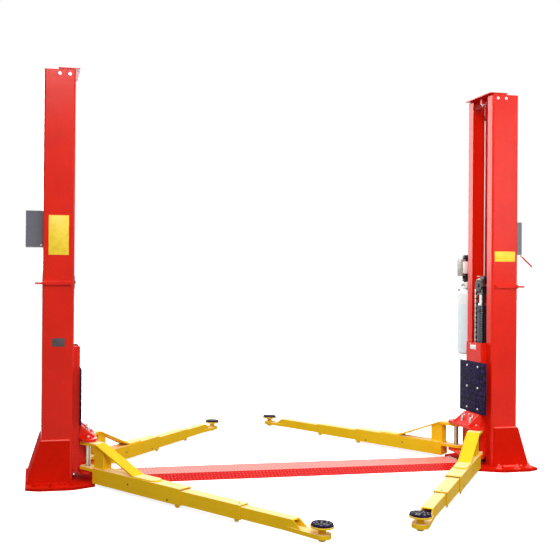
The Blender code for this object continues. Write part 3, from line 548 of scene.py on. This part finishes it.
# The tube's enamel is glossy, and its black is painted a lighter blue-grey as a highlight
# running down it. The other black paint is a plain near-black.
black_coat = powder_coat("black_powder_coat", "#1B1C1F", "#101114")
tube_coat = powder_coat("tube_enamel_painted_blue_grey_highlight", "#343A48", "#262B36", sheen=0.6)

bore_line = -0.083
tube_skin = 0.0342
gland = 0.0270
for side, post in posts.items():
    dress(tube_coat, "lift_cylinder_" + side)
    line = post @ Matrix.Translation((bore_line, 0.0, 0.0))
    shape = bmesh.new()
    turned(shape, [(0.0216, 1.2275), (0.0262, 1.2275), (gland, 1.2285), (gland, 1.2420), (0.0262, 1.2450),
                   (0.0235, 1.2480), (0.0218, 1.2480)], 32, line)
    drawn("cylinder_gland_" + side, shape, "frame", zinc)
    shape = bmesh.new()
    foot_bead = [(tube_skin, 0.0325), (0.0385, 0.0325), (0.0375, 0.0365), (0.0345, 0.0390),
                 (tube_skin, 0.0390)]
    turned(shape, foot_bead, 28, line)
    for level in (0.420, 1.180):
        band = [(0.0341, level), (0.0350, level + 0.001), (0.0350, level + 0.011), (0.0341, level + 0.012)]
        turned(shape, band, 28, line)
    drawn("cylinder_rings_" + side, shape, "frame", black_coat)
    shape = bmesh.new()
    port = facing(post, (bore_line, 0.034, 0.110), (0, 1, 0))
    turned(shape, [(0, 0), (0.013, 0), (0.013, 0.012), (0.010, 0.013), (0.010, 0.016)], 16, port)
    turned(shape, [(0.010, 0.014), (0.0125, 0.014), (0.0125, 0.026), (0, 0.026)], 6, port)
    drawn("cylinder_port_" + side, shape, "frame", zinc)

# Rods and yokes: a hard-chromed rod screwed into a black steel head. The sheave turns on an
# axle at the head's open side, under a bent keeper strip, and a snap ring holds it there.

# Below 1.3136 m the finish is polished chrome, which mirrors its surroundings, and above it
# satin black paint.
ram_steel, tree, place = bare_finish("chromed_rod_and_black_yoke")
level = wire(tree, "SeparateXYZ", {0: place}).outputs[2]
polish = wire(tree, "TexNoise", {"Vector": place, "Scale": 1000 / 6, "Detail": 2.0})
gloss = wire(tree, "MapRange", {"Value": polish.outputs["Fac"], 3: 0.06, 4: 0.16})
chrome = wire(tree, "BsdfPrincipled", {"Base Color": paint("#DDE0E2"), "Metallic": 1.0,
                                       "Roughness": gloss.outputs[0]})
hues = {0: polish.outputs["Fac"], 6: paint("#1F2023"), 7: paint("#121315")}
coat = wire(tree, "Mix", hues, data_type="RGBA")
satin = wire(tree, "MapRange", {"Value": polish.outputs["Fac"], 3: 0.30, 4: 0.48})
painted = wire(tree, "BsdfPrincipled", {"Base Color": coat.outputs[2], "Roughness": satin.outputs[0]})
above = wire(tree, "Math", {0: level, 1: 1.3136}, operation="GREATER_THAN")
shown = wire(tree, "MixShader", {0: above.outputs[0], 1: chrome.outputs[0], 2: painted.outputs[0]})
wire(tree, "OutputMaterial", {"Surface": shown.outputs[0]})

wheel_z = 1.385
for side, post in posts.items():
    dress(ram_steel, "rod_yoke_" + side)
    dress(black_coat, "chain_sheave_" + side)
    shape = bmesh.new()
    ring = facing(post, (-0.1171, 0.0, wheel_z), (-1, 0, 0))
    turned(shape, [(0.0122, 0.0), (0.0175, 0.0), (0.0175, 0.0016), (0.0122, 0.0016)], 20, ring, 1)
    turned(shape, [(0, 0.0058), (0.0112, 0.0058), (0.0090, 0.0072), (0, 0.0072)], 20, ring, 1)
    for depth in (-1, 1):
        bolt(shape, facing(post, (-0.067, depth * 0.0300, wheel_z), (0, depth, 0)), 0.013, washer=False)
    slab(shape, (-0.1150, -0.0240, 1.4552), (-0.0600, 0.0240, 1.4575), post, 0.0006)
    drawn("axle_rings_" + side, shape, "ram_" + side, zinc, black_coat)

# Leaf chains: blued link plates laced on hardened pins, oiled, one from the carriage over
# the sheave to the base. Each plate spans two pins 19 mm apart.

# Oiled steel: a bright warm grey metal, clouded by the oil over some 20 mm. Only the outer
# plates of the working run show it; the inner plates and the base run are painted black as shade.
chain_steel = clouded("oiled_chain_steel", ("#D2D4D0", "#A9AAA4"), (20, 4.0, 0.65), (0.22, 0.42),
                      spread=(0.35, 0.65), grain=(2, 1.0), relief=(0.1, 0.0002), metal=1.0, filmed=True)

pitch = 0.01905
bend = 0.04905
chain_x = -0.102
carriage_run = wheel_z - 0.626
base_run = wheel_z - 0.086
arch = math.pi * bend
plate_eye = 0.0130
plate_round = 0.0040
plate_half = 0.0045
leaf_thick = 0.0033
outer_leaves = (-0.0111, -0.0040, 0.0031)
inner_leaves = (-0.0075, -0.0004, 0.0067)
pin_half = 0.0114
pin_thick = 0.0026
plate = []
for end, first in ((plate_eye, -90), (-plate_eye, 90)):
    for step in range(5):
        angle = math.radians(first + 45 * step)
        plate.append((end + plate_round * math.cos(angle), plate_half * math.sin(angle)))


def on_path(travel):
    """A point on the chain: up from the carriage, over the sheave and down to the base."""
    if travel < carriage_run:
        return Vector((chain_x, bend, wheel_z - carriage_run + travel))
    if travel < carriage_run + arch:
        turn = (travel - carriage_run) / bend
        return Vector((chain_x, bend * math.cos(turn), wheel_z + bend * math.sin(turn)))
    return Vector((chain_x, -bend, wheel_z - (travel - carriage_run - arch)))


for side, post in posts.items():
    shape = bmesh.new()
    for index in range(int((carriage_run + arch + base_run) / pitch)):
        first = on_path(index * pitch)
        second = on_path((index + 1) * pitch)
        run = (second - first).normalized()
        thick = Vector((1, 0, 0))
        turn = Matrix((run, thick.cross(run), thick)).transposed().to_4x4()
        link = post @ Matrix.Translation((first + second) / 2) @ turn
        # Inner plates and the base run are painted black as shade, between the plates and in the lip's
        # shadow.
        bright = index % 2 and index * pitch < carriage_run + arch
        for leaf in outer_leaves if index % 2 else inner_leaves:
            extruded(shape, plate, leaf, leaf + leaf_thick, link, slot=0 if bright else 1)
        pin = post @ Matrix.Translation(first) @ turn
        turned(shape, [(0, -pin_half), (pin_thick, -pin_half), (pin_thick, pin_half), (0, pin_half)], 6, pin)
    links = drawn("leaf_chain_links_" + side, shape, "ram_" + side, chain_steel, black_coat)
    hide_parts("leaf_chain_" + side)

# Equalizer cables: 10 mm galvanised wire rope, six strands laid round a core, swaged below
# the cap. The lay is drawn at 80 mm, longer than the real 65 mm, so that the strands read.

# Galvanised wire: a pale, dry grey that is half metal and half white bloom.
rope_steel = clouded("galvanised_rope", ("#E6E8E7", "#B4B7B5"), (4, 3.0, 0.5), (0.30, 0.50),
                     relief=(0.3, 0.0004), metal=0.6)

rope_x = -0.041
rope_y = 0.042
lay = 0.080
ring_gap = 0.008
crest = 0.0050
valley = 0.0040
swage = 0.0078
for side, post in posts.items():
    low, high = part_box("equalizer_cable_" + side)
    shape = bmesh.new()
    rings = []
    count = int((high[2] - low[2]) / ring_gap)
    for step in range(count + 1):
        level = low[2] + (high[2] - low[2]) * step / count
        spin = math.tau * level / lay
        ring = []
        for corner in range(12):
            angle = spin + math.tau * corner / 12
            radius = crest if corner % 2 else valley
            spot = Vector((rope_x + radius * math.cos(angle), rope_y + radius * math.sin(angle), level))
            ring.append(shape.verts.new(post @ spot))
        rings.append(ring)
    skinned(shape, rings)
    rope = drawn("equalizer_rope_" + side, shape, "frame", rope_steel, angle=70.0)
    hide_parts("equalizer_cable_" + side)
    shape = bmesh.new()
    turned(shape, [(0.0051, 2.680), (swage, 2.684), (swage, 2.714), (0.0065, 2.720), (0.0051, 2.720)], 16,
           post @ Matrix.Translation((rope_x, rope_y, 0.0)))
    drawn("rope_swage_" + side, shape, "frame", black_coat)

# Carriages: 8 mm plate welded to a hollow box that slides inside the column on plastic
# blocks. Flame-cut ears, a hood plate and gussets carry the arm pins, and two spring pins
# with pull rings lock the arms.

# The pins are bare steel, dulled by grease to a greenish grey, and above 0.3105 m their
# heads are red with the carriage's paint.
pin_steel, tree, place = bare_finish("greased_steel_pin_with_red_head")
film_and_sheen = wire(tree, "TexNoise", {"Vector": place, "Scale": 1000 / 18, "Detail": 3.0})
bare = wire(tree, "Mix", {0: film_and_sheen.outputs["Fac"], 6: paint("#B9BCA8"), 7: paint("#8A8C78")}, data_type="RGBA")
head = wire(tree, "Mix", {0: film_and_sheen.outputs["Fac"], 6: paint("#E8220C"), 7: paint("#CC1808")}, data_type="RGBA")
gloss = wire(tree, "MapRange", {"Value": film_and_sheen.outputs["Fac"], 3: 0.25, 4: 0.45})
level = wire(tree, "SeparateXYZ", {0: place}).outputs[2]
above = wire(tree, "Math", {0: level, 1: 0.3105}, operation="GREATER_THAN")
metal = wire(tree, "BsdfPrincipled", {"Base Color": bare.outputs[2], "Metallic": 1.0,
                                      "Roughness": gloss.outputs[0]})
coated = wire(tree, "BsdfPrincipled", {"Base Color": head.outputs[2], "Roughness": gloss.outputs[0]})
shown = wire(tree, "MixShader", {0: above.outputs[0], 1: metal.outputs[0], 2: coated.outputs[0]})
wire(tree, "OutputMaterial", {"Surface": shown.outputs[0]})


def middle_of(node):
    """The spot on the floor under the middle of one of the frame's own pieces."""
    low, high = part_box(node)
    return Vector(((low[0] + high[0]) / 2, (low[1] + high[1]) / 2, 0))


def on_edge(x, y, z):
    """A frame turned on edge, in which an outline stands up and its thickness runs along Y."""
    return Matrix(((1, 0, 0, x), (0, 0, 1, y), (0, 1, 0, z), (0, 0, 0, 1)))


gusset_thick = 0.008
gusset_foot = 0.311
gusset_back = -0.155
ear_gusset = [(gusset_back, gusset_foot), (-0.262, gusset_foot), (gusset_back, 0.392)]
fan_gusset = [(gusset_back, gusset_foot), (-0.240, gusset_foot), (gusset_back, 0.372)]
fan_angle = 24
nose_edge = -0.1520
nose_half = 0.1035
collar = 0.0105
plunger = 0.0070
coil_wire = 0.0013
coil_steps = 60
ring_wire = 0.0024
ring_radius = 0.0185
for side, post in posts.items():
    body = "carriage_" + side
    dress(red_coat, body)
    shape = bmesh.new()
    for depth in (-1, 1):
        upright = on_edge(0, depth * 0.118 - gusset_thick / 2, 0)
        extruded(shape, ear_gusset, 0.0, gusset_thick, post @ upright, 0.0012)
        lean = Matrix.Rotation(depth * math.radians(fan_angle), 4, "Z")
        fan = Matrix.Translation((-0.150, depth * 0.108, 0)) @ lean @ Matrix.Translation((0.150, 0, 0))
        upright = on_edge(0, -gusset_thick / 2, 0)
        extruded(shape, fan_gusset, 0.0, gusset_thick, post @ fan @ upright, 0.0012)
        edge = depth * nose_half
        weld(shape, post, (nose_edge, edge, 0.320), (nose_edge, edge, 0.940), 0.0026)
    weld(shape, post, (-0.262, -0.110, 0.3125), (-0.262, 0.110, 0.3125), 0.0034)
    weld(shape, post, (-0.154, -0.094, 0.3965), (-0.154, 0.094, 0.3965), 0.0034)
    drawn("head_gussets_" + side, shape, body, red_coat)
    # The hood's edge beads are painted pale as a highlight.
    shape = bmesh.new()
    for depth in (-1, 1):
        weld(shape, post, (-0.160, depth * 0.095, 0.3925), (-0.258, depth * 0.110, 0.3170), 0.0046)
    drawn("hood_edge_beads_" + side, shape, body, highlight_bead_coat)

    shape = bmesh.new()
    for depth in (-1, 1):
        base = post @ Matrix.Translation((-0.220, depth * 0.060 - 0.016, 0.334))
        turned(shape, [(0.0, -0.014), (collar, -0.014), (collar, 0.004), (plunger, 0.006), (plunger, 0.034),
                       (0.0055, 0.038), (0, 0.038)], 14, base)
        coil = []
        for step in range(coil_steps + 1):
            turn = math.tau * step / 12
            level = 0.006 + 0.018 * step / coil_steps
            coil.append(Vector((collar * math.cos(turn), collar * math.sin(turn), level)))
        rings = []
        for step, point in enumerate(coil):
            ahead = (coil[min(step + 1, coil_steps)] - coil[max(step - 1, 0)]).normalized()
            out = Vector((point.x, point.y, 0)).normalized()
            lift = ahead.cross(out)
            spokes = [out, lift, -out, -lift]
            rings.append([shape.verts.new(base @ (point + coil_wire * spoke)) for spoke in spokes])
        skinned(shape, rings, capped=False)
        loop = base @ Matrix.Translation((0, 0, 0.050)) @ Matrix.Rotation(math.radians(90), 4, "X")
        rings = []
        for step in range(24):
            turn = math.tau * step / 24
            out = Vector((math.cos(turn), math.sin(turn), 0))
            spokes = [out * math.cos(a) + Vector((0, 0, math.sin(a)))
                      for a in [math.tau * corner / 5 for corner in range(5)]]
            rings.append([shape.verts.new(loop @ (ring_radius * out + ring_wire * spoke))
                          for spoke in spokes])
        skinned(shape, rings, capped=False, looped=True)
    drawn("restraint_pins_" + side, shape, body, zinc)

    mirror = 1 if side == "right" else -1
    shape = bmesh.new()
    for z in (0.900, 0.930):
        for y in (-0.028, 0.046):
            head = facing(post, (-0.1532, mirror * y, z), (-1, 0, 0))
            turned(shape, [(0, 0), (0.0045, 0), (0.0045, 0.001), (0.0030, 0.0024), (0, 0.0026)], 12, head)
    drawn("capacity_plate_screws_" + side, shape, body, zinc)
    shape = bmesh.new()
    flat = facing(post, (-0.1529, mirror * 0.008, 0.905), (-1, 0, 0))
    slab(shape, (-0.042, -0.017, 0.0), (0.042, 0.017, plate_thick), flat, 0.0004)
    drawn("capacity_plate_" + side, shape, body, white_sheet)

    for row in ("front", "rear"):
        name = "arm_pin_" + row + "_" + side
        low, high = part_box(name)
        centre = Matrix.Translation(middle_of(name))
        dress(pin_steel, name)
        shape = bmesh.new()
        bolt(shape, centre @ Matrix.Translation((0, 0, high[2])), 0.012)
        ring_low = low[2] + 0.0015
        ring_high = low[2] + 0.0038
        snap_ring = [(0.0182, ring_low), (0.0225, ring_low), (0.0225, ring_high), (0.0182, ring_high)]
        turned(shape, snap_ring, 24, centre)
        drawn("pin_rings_" + row + "_" + side, shape, body, zinc)

# Door guards: moulded black rubber on each carriage's face with shallow cross bands, held
# by six plated cap screws in dished washers.

# The rubber is matt and nearly black. A violet-blue bloom of wax lies on it in 18 mm clouds.
rubber = clouded("moulded_black_rubber", ("#07060D", "#342A58"), (18, 4.0, 0.75), (0.58, 0.80),
                 spread=(0.42, 0.62), grain=(5, 2.0), relief=(0.35, 0.0006), sheen=0.06)

guard_back = -0.1531
guard_margin = 0.006
band_gap = 0.003
bands = 9
for side, post in posts.items():
    low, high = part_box("door_guard_" + side)
    half = (high[1] - low[1]) / 2
    tall = high[2] - low[2]
    thick = high[0] - low[0]
    shape = bmesh.new()
    front = facing(post, (guard_back, 0.0, low[2]), (-1, 0, 0))
    slab(shape, (-half, 0.0, 0.0), (half, tall, thick - 0.0022), front, 0.003)
    for band in range(bands):
        start = guard_margin + band * (tall - 2 * guard_margin) / bands
        low_edge = start + band_gap
        high_edge = start + (tall - 2 * guard_margin) / bands - band_gap
        slab(shape, (-half + guard_margin, low_edge, thick - 0.004), (half - guard_margin, high_edge, thick),
             front, 0.0012)
    pad = drawn("guard_rubber_" + side, shape, "carriage_" + side, rubber)
    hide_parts("door_guard_" + side)
    shape = bmesh.new()
    for z in (0.432, 0.595, 0.757):
        for y in (-0.078, 0.078):
            head = facing(post, (guard_back - thick, y, z), (-1, 0, 0))
            turned(shape, [(0.0076, -0.0006), (0.0080, 0.0008), (0.0062, 0.0014), (0.0048, 0.0004),
                           (0.0048, 0.0028), (0.0042, 0.0036), (0, 0.0036)], 18, head)
    drawn("guard_screws_" + side, shape, "carriage_" + side, zinc)

# Swing arms: a flame-cut knuckle with two lugs, a post and a flat strap brace, welded to
# square tube. Two smaller tubes telescope inside it, and stop screws and half-round stop
# lugs keep them from pulling out.

# The arms' coat is a warm yellow, rubbed to a satin, and a pale cream sheen is painted on the
# tubes' tops, where light from above rakes them.
yellow_coat = powder_coat("yellow_powder_coat", "#FCCC24", "#E8B818", sheen=0.05, rough=0.50, film_and_sheen=0.36)

# Black oxide screws: near-black with a brown cast and a low shine.
socket_black = clouded("black_oxide_screw", ("#2B2623", "#151312"), (5, 2.0, 0.5), (0.35, 0.55), metal=0.6)

outer_end = 0.920
arms = {}
drawn_out = {"front_left": 0.463, "front_right": 0.412, "rear_left": 0.470, "rear_right": 0.413}
for name, pulled in drawn_out.items():
    pin = middle_of("arm_pin_" + name)
    pad = middle_of("pad_rubber_" + name)
    heading = (pad - pin).normalized()
    turn = Matrix((heading, Vector((0, 0, 1)).cross(heading), Vector((0, 0, 1)))).transposed().to_4x4()
    arms[name] = (Matrix.Translation(pin) @ turn, outer_end + pulled, (pad - pin).length)

tube_top = 0.1290
stop_screw = [(0.0062, 0.0), (0.0058, 0.0012), (0.0034, 0.0012), (0.0034, 0.0003), (0, 0.0003)]
side_screws = ((0.455, 0.078), (0.812, 0.044))
outer_half = 0.0511
middle_top = 0.1154
stop_thick = 0.008


def half_round(radius):
    """The lower half of a disc, in steps of 20 degrees."""
    angles = [math.radians(turn) for turn in range(180, 361, 20)]
    return [(radius * math.cos(angle), radius * math.sin(angle)) for angle in angles]


for name, (arm, middle_end, reach) in arms.items():
    dress(yellow_coat, "arm_outer_" + name, "arm_middle_" + name, "arm_inner_" + name)
    shape = bmesh.new()
    for lateral in (-1, 1):
        for start, end, half, level, radius in (
                (0.108, 0.196, 0.0365, tube_top, 0.0034),
                (0.108, 0.130, 0.0375, 0.2700, 0.0030),
                (0.520, 0.640, 0.0465, tube_top, 0.0030)):
            edge = lateral * half
            weld(shape, arm, (start, edge, level), (end, edge, level), radius)
    for along, half, level in ((0.1985, 0.036, tube_top), (0.6915, 0.018, 0.1300), (0.1035, 0.036, tube_top)):
        weld(shape, arm, (along, -half, level), (along, half, level), 0.0034)
    for lateral in (-1, 1):
        stop = on_edge(0.893, lateral * 0.0450 - stop_thick / 2, 0.0262)
        extruded(shape, half_round(0.018), 0.0, stop_thick, arm @ stop, 0.001)
    drawn("outer_arm_welds_" + name, shape, "arm_" + name, yellow_coat)

    shape = bmesh.new()
    for lateral in (-1, 1):
        stop = on_edge(middle_end - 0.026, lateral * 0.0365 - stop_thick / 2, 0.0315)
        extruded(shape, half_round(0.016), 0.0, stop_thick, arm @ stop, 0.001)
    drawn("middle_arm_stop_" + name, shape, "middle_" + name, yellow_coat)

    shape = bmesh.new()
    for along, level in side_screws:
        for lateral in (-1, 1):
            head = facing(arm, (along, lateral * outer_half, level), (0, lateral, 0))
            turned(shape, stop_screw, 12, head)
    drawn("arm_stop_screws_" + name, shape, "arm_" + name, socket_black)
    shape = bmesh.new()
    turned(shape, stop_screw, 12, arm @ Matrix.Translation((middle_end - 0.036, 0.0, middle_top)))
    drawn("middle_stop_screws_" + name, shape, "middle_" + name, socket_black)

# Screw pads: a turned stem with a square-cut thread and a flared cup, painted like the
# arms, which holds a loose ribbed disc of black rubber.

# Every other block of the disc is scuffed to a chalky grey.
chalky = printed_sheet("chalky_scuffed_rubber", "#77777C", "#2E2E33")

thread_root = 0.0198
thread_crest = 0.0214
thread_pitch = 0.0052
thread_top = 0.0760
cup_floor = 0.0968
cup_inner = 0.0600
disc_base = 0.1118
disc_top = 0.1158
for name, (arm, middle_end, reach) in arms.items():
    spot = arm @ Matrix.Translation((reach, 0, 0))
    shape = bmesh.new()
    profile = [(0, 0.0200), (0.0190, 0.0200), (0.0196, 0.0212)]
    level = 0.0230
    while level < thread_top:
        profile += [(thread_root, level), (thread_crest, level + 0.0008), (thread_crest, level + 0.0026),
                    (thread_root, level + 0.0034)]
        level += thread_pitch
    profile += [(thread_crest, 0.0780), (0.0240, 0.0815), (0.0310, 0.0858), (0.0560, 0.0915),
                (0.0638, 0.0938), (0.0654, 0.0962), (0.0656, 0.1020), (0.0650, 0.1038), (0.0632, 0.1040),
                (0.0612, 0.1030), (cup_inner, 0.1000), (cup_inner, cup_floor), (0, cup_floor)]
    turned(shape, profile, 40, spot)
    cup = drawn("pad_cup_" + name, shape, "pad_" + name, yellow_coat)
    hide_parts("lift_pad_" + name)
    shape = bmesh.new()
    turned(shape, [(0, 0.0974), (0.0590, 0.0974), (0.0594, 0.0985), (0.0594, 0.1105), (0.0584, 0.1122),
                   (0, 0.1122)], 40, spot)
    for ring_radius, count in ((0.012, 5), (0.028, 11), (0.044, 17)):
        for step in range(count):
            angle = math.tau * step / count
            block = spot @ Matrix.Rotation(angle, 4, "Z") @ Matrix.Translation((ring_radius, 0, 0))
            slab(shape, (-0.0055, -0.0052, disc_base), (0.0055, 0.0052, disc_top), block, 0.0008,
                 slot=(step + 1) % 2)
    turned(shape, [(0.0530, disc_base), (0.0532, 0.1150), (0.0542, disc_top), (0.0572, disc_top),
                   (0.0582, 0.1150), (0.0584, disc_base)], 40, spot)
    disc = drawn("pad_disc_" + name, shape, "pad_" + name, rubber, chalky)
    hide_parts("pad_rubber_" + name)

# Floor cover: 4 mm tread plate folded to a low bridge over the hoses and cables between
# the posts. Its lens-shaped lugs stand 1.2 mm proud and alternate, and plated bolts hold
# its ends to the plates below.

# Its coat is a deeper red with a painted pale sheen on its flat top, and the lugs are painted paler as
# highlights.
cover_coat = powder_coat("red_powder_coat_on_tread_plate", "#D01412", "#B80E0E", sheen=0.10, film_and_sheen=0.28)
lug_highlight_coat = powder_coat("red_powder_coat_painted_lug_highlight", "#F2584E", "#D63C34", sheen=0.10)
dress(cover_coat, "floor_cover")

low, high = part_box("floor_cover")
centre = middle_of("floor_cover")
half_long = (high[0] - low[0]) / 2
rise = 0.036
foot_half = 0.200
top_half = 0.108
slope = math.atan2(rise, foot_half - top_half)
slope_middle = (foot_half + top_half) / 2
slope_half = 0.042
strips = [(Matrix.Translation(centre + Vector((0, 0, rise))), 0.100)]
for depth in (-1, 1):
    face = Matrix.Translation(centre + Vector((0, depth * slope_middle, rise / 2)))
    strips.append((face @ Matrix.Rotation(-depth * slope, 4, "X"), slope_half))
lug_gap = 0.026
lug_proud = 0.0012
lug_half = 0.0105
lug_thick = 0.0027
lug = [(lug_half, 0.0), (0.0060, 0.0020), (0.0, lug_thick), (-0.0060, 0.0020), (-lug_half, 0.0),
       (-0.0060, -0.0020), (0.0, -lug_thick), (0.0060, -0.0020)]
shape = bmesh.new()
for strip, half_wide in strips:
    rows = int(half_wide * 2 / lug_gap)
    for row in range(rows):
        y = -half_wide + (row + 0.5) * half_wide * 2 / rows
        for step in range(int((half_long * 2 - 0.020) / lug_gap)):
            x = -half_long + 0.022 + step * lug_gap
            turn = math.radians(45 if (row + step) % 2 else -45)
            spot = strip @ Matrix.Translation((x, y, 0)) @ Matrix.Rotation(turn, 4, "Z")
            base = [shape.verts.new(spot @ Vector((a, b, -0.0002))) for a, b in lug]
            crown = [shape.verts.new(spot @ Vector((a * 0.72, b * 0.55, lug_proud))) for a, b in lug]
            shape.faces.new(crown)
            for index in range(8):
                after = (index + 1) % 8
                shape.faces.new((base[index], base[after], crown[after], crown[index]))
drawn("tread_lugs", shape, "frame", lug_highlight_coat, angle=60.0)
shape = bmesh.new()
for end in (-1, 1):
    for y in (-0.084, -0.010, 0.084):
        bolt(shape, Matrix.Translation(centre + Vector((end * (half_long - 0.017), y, rise))), 0.014)
drawn("cover_bolts", shape, "frame", zinc)

# Power unit: a cast valve block carries a blow-moulded milky tank below and a black
# motor above, with a capacitor box and a lowering lever at its side.

# Milky polyethylene lets light soak in. The oil stands to 1.23 m and cools its white.
milky, tree, place = bare_finish("milky_polyethylene")
level = wire(tree, "SeparateXYZ", {0: place}).outputs[2]
cloud = wire(tree, "TexNoise", {"Vector": place, "Scale": 1000 / 60, "Detail": 3.0})
fill = wire(tree, "MapRange", {"Value": level, 1: 1.226, 2: 1.236, 3: 0.0, 4: 1.0})
oil = wire(tree, "Mix", {0: cloud.outputs["Fac"], 6: paint("#DCE8EF"), 7: paint("#E4EEF3")}, data_type="RGBA")
hues = {0: cloud.outputs["Fac"], 6: paint("#F4F6F5"), 7: paint("#E9EDEC")}
empty = wire(tree, "Mix", hues, data_type="RGBA")
colour = wire(tree, "Mix", {0: fill.outputs[0], 6: oil.outputs[2], 7: empty.outputs[2]}, data_type="RGBA")
gloss = wire(tree, "MapRange", {"Value": cloud.outputs["Fac"], 3: 0.28, 4: 0.42})
shader = wire(tree, "BsdfPrincipled", {"Base Color": colour.outputs[2], "Roughness": gloss.outputs[0],
                                       "Subsurface Weight": 0.25, "Subsurface Scale": 0.02})
wire(tree, "OutputMaterial", {"Surface": shader.outputs[0]})
dress(milky, "oil_tank")

# Sand-cast aluminium: a dull pale grey, pitted by the mould's 3 mm sand marks.
cast = clouded("sand_cast_aluminium", ("#C9C9C4", "#A9AAA6"), (3, 3.0, 0.5), (0.45, 0.65),
               relief=(0.4, 0.0006), metal=0.85)
dress(cast, "pump_bracket")
dress(black_coat, "pump_motor")

unit = posts["right"] @ Matrix.Translation((-0.015, 0.300, 0.0))
tank_skin = 0.0968
rib = 0.0978
shape = bmesh.new()
for level in (0.905, 1.000, 1.095, 1.190, 1.270):
    turned(shape, [(tank_skin, level - 0.004), (rib, level - 0.002), (rib, level + 0.002),
                   (tank_skin, level + 0.004)], 48, unit)
turned(shape, [(0.0500, 1.3580), (0.0530, 1.3586), (0.0530, 1.3650), (0.0500, 1.3656)], 36, unit)
drawn("tank_ribs", shape, "frame", milky)

fins = 28
motor_skin = 0.0562
shape = bmesh.new()
for fin in range(fins):
    angle = math.tau * fin / fins
    spot = unit @ Matrix.Rotation(angle, 4, "Z") @ Matrix.Translation((0.0556, 0, 0))
    slab(shape, (0.0, -0.0014, 1.438), (0.0044, 0.0014, 1.608), spot, 0.0006)
turned(shape, [(motor_skin, 1.4180), (0.0602, 1.4190), (0.0602, 1.4310), (motor_skin, 1.4330)], 36, unit)
turned(shape, [(motor_skin, 1.6100), (0.0600, 1.6110), (0.0590, 1.6230), (0.0520, 1.6310), (0.0, 1.6322)],
       36, unit)
drawn("motor_fins", shape, "frame", black_coat)

box_face = -0.0960
box_grey = printed_sheet("moulded_grey_plastic", "#9A988C", "#86847A")
shape = bmesh.new()
slab(shape, (-0.0950, -0.0310, 1.4610), (-0.0560, 0.0310, 1.5960), unit, 0.004)
slab(shape, (box_face, -0.0330, 1.4600), (-0.0880, 0.0330, 1.5970), unit, 0.003)
drawn("capacitor_box", shape, "frame", box_grey)
shape = bmesh.new()
for y, z in ((-0.024, 1.470), (0.024, 1.470), (-0.024, 1.587), (0.024, 1.587)):
    turned(shape, [(0, 0), (0.0035, 0), (0.0035, 0.001), (0.0022, 0.0018), (0, 0.0018)], 12,
           facing(unit, (box_face, y, z), (-1, 0, 0)))
for x in (0.036, -0.036):
    bolt(shape, unit @ Matrix.Translation((x, -0.036, 1.4102)), 0.013)
turned(shape, [(0, 0), (0.011, 0), (0.011, 0.016), (0.008, 0.018), (0.008, 0.024), (0, 0.024)], 16,
       facing(unit, (-0.0578, 0.0, 1.388), (-1, 0, 0)))
lever = facing(unit, (-0.076, -0.004, 1.384), (-0.55, 0.0, -0.84))
turned(shape, [(0, 0), (0.003, 0), (0.003, 0.040), (0, 0.040)], 10, lever)
drawn("power_unit_screws", shape, "frame", zinc)
shape = bmesh.new()
turned(shape, [(0, 0.036), (0.0045, 0.037), (0.0052, 0.044), (0.0045, 0.051), (0, 0.053)], 14, lever)
filler_cap = [(0, 1.3050), (0.014, 1.3050), (0.014, 1.3260), (0.011, 1.3290), (0, 1.3290)]
turned(shape, filler_cap, 18, unit @ Matrix.Translation((-0.046, -0.058, 0.004)))
drawn("lever_knob", shape, "frame", black_coat)
shape = bmesh.new()
slab(shape, (-0.0880, -0.0620, 1.4800), (-0.0240, -0.0325, 1.5770), unit, 0.003)
drawn("terminal_box", shape, "frame", white_sheet)
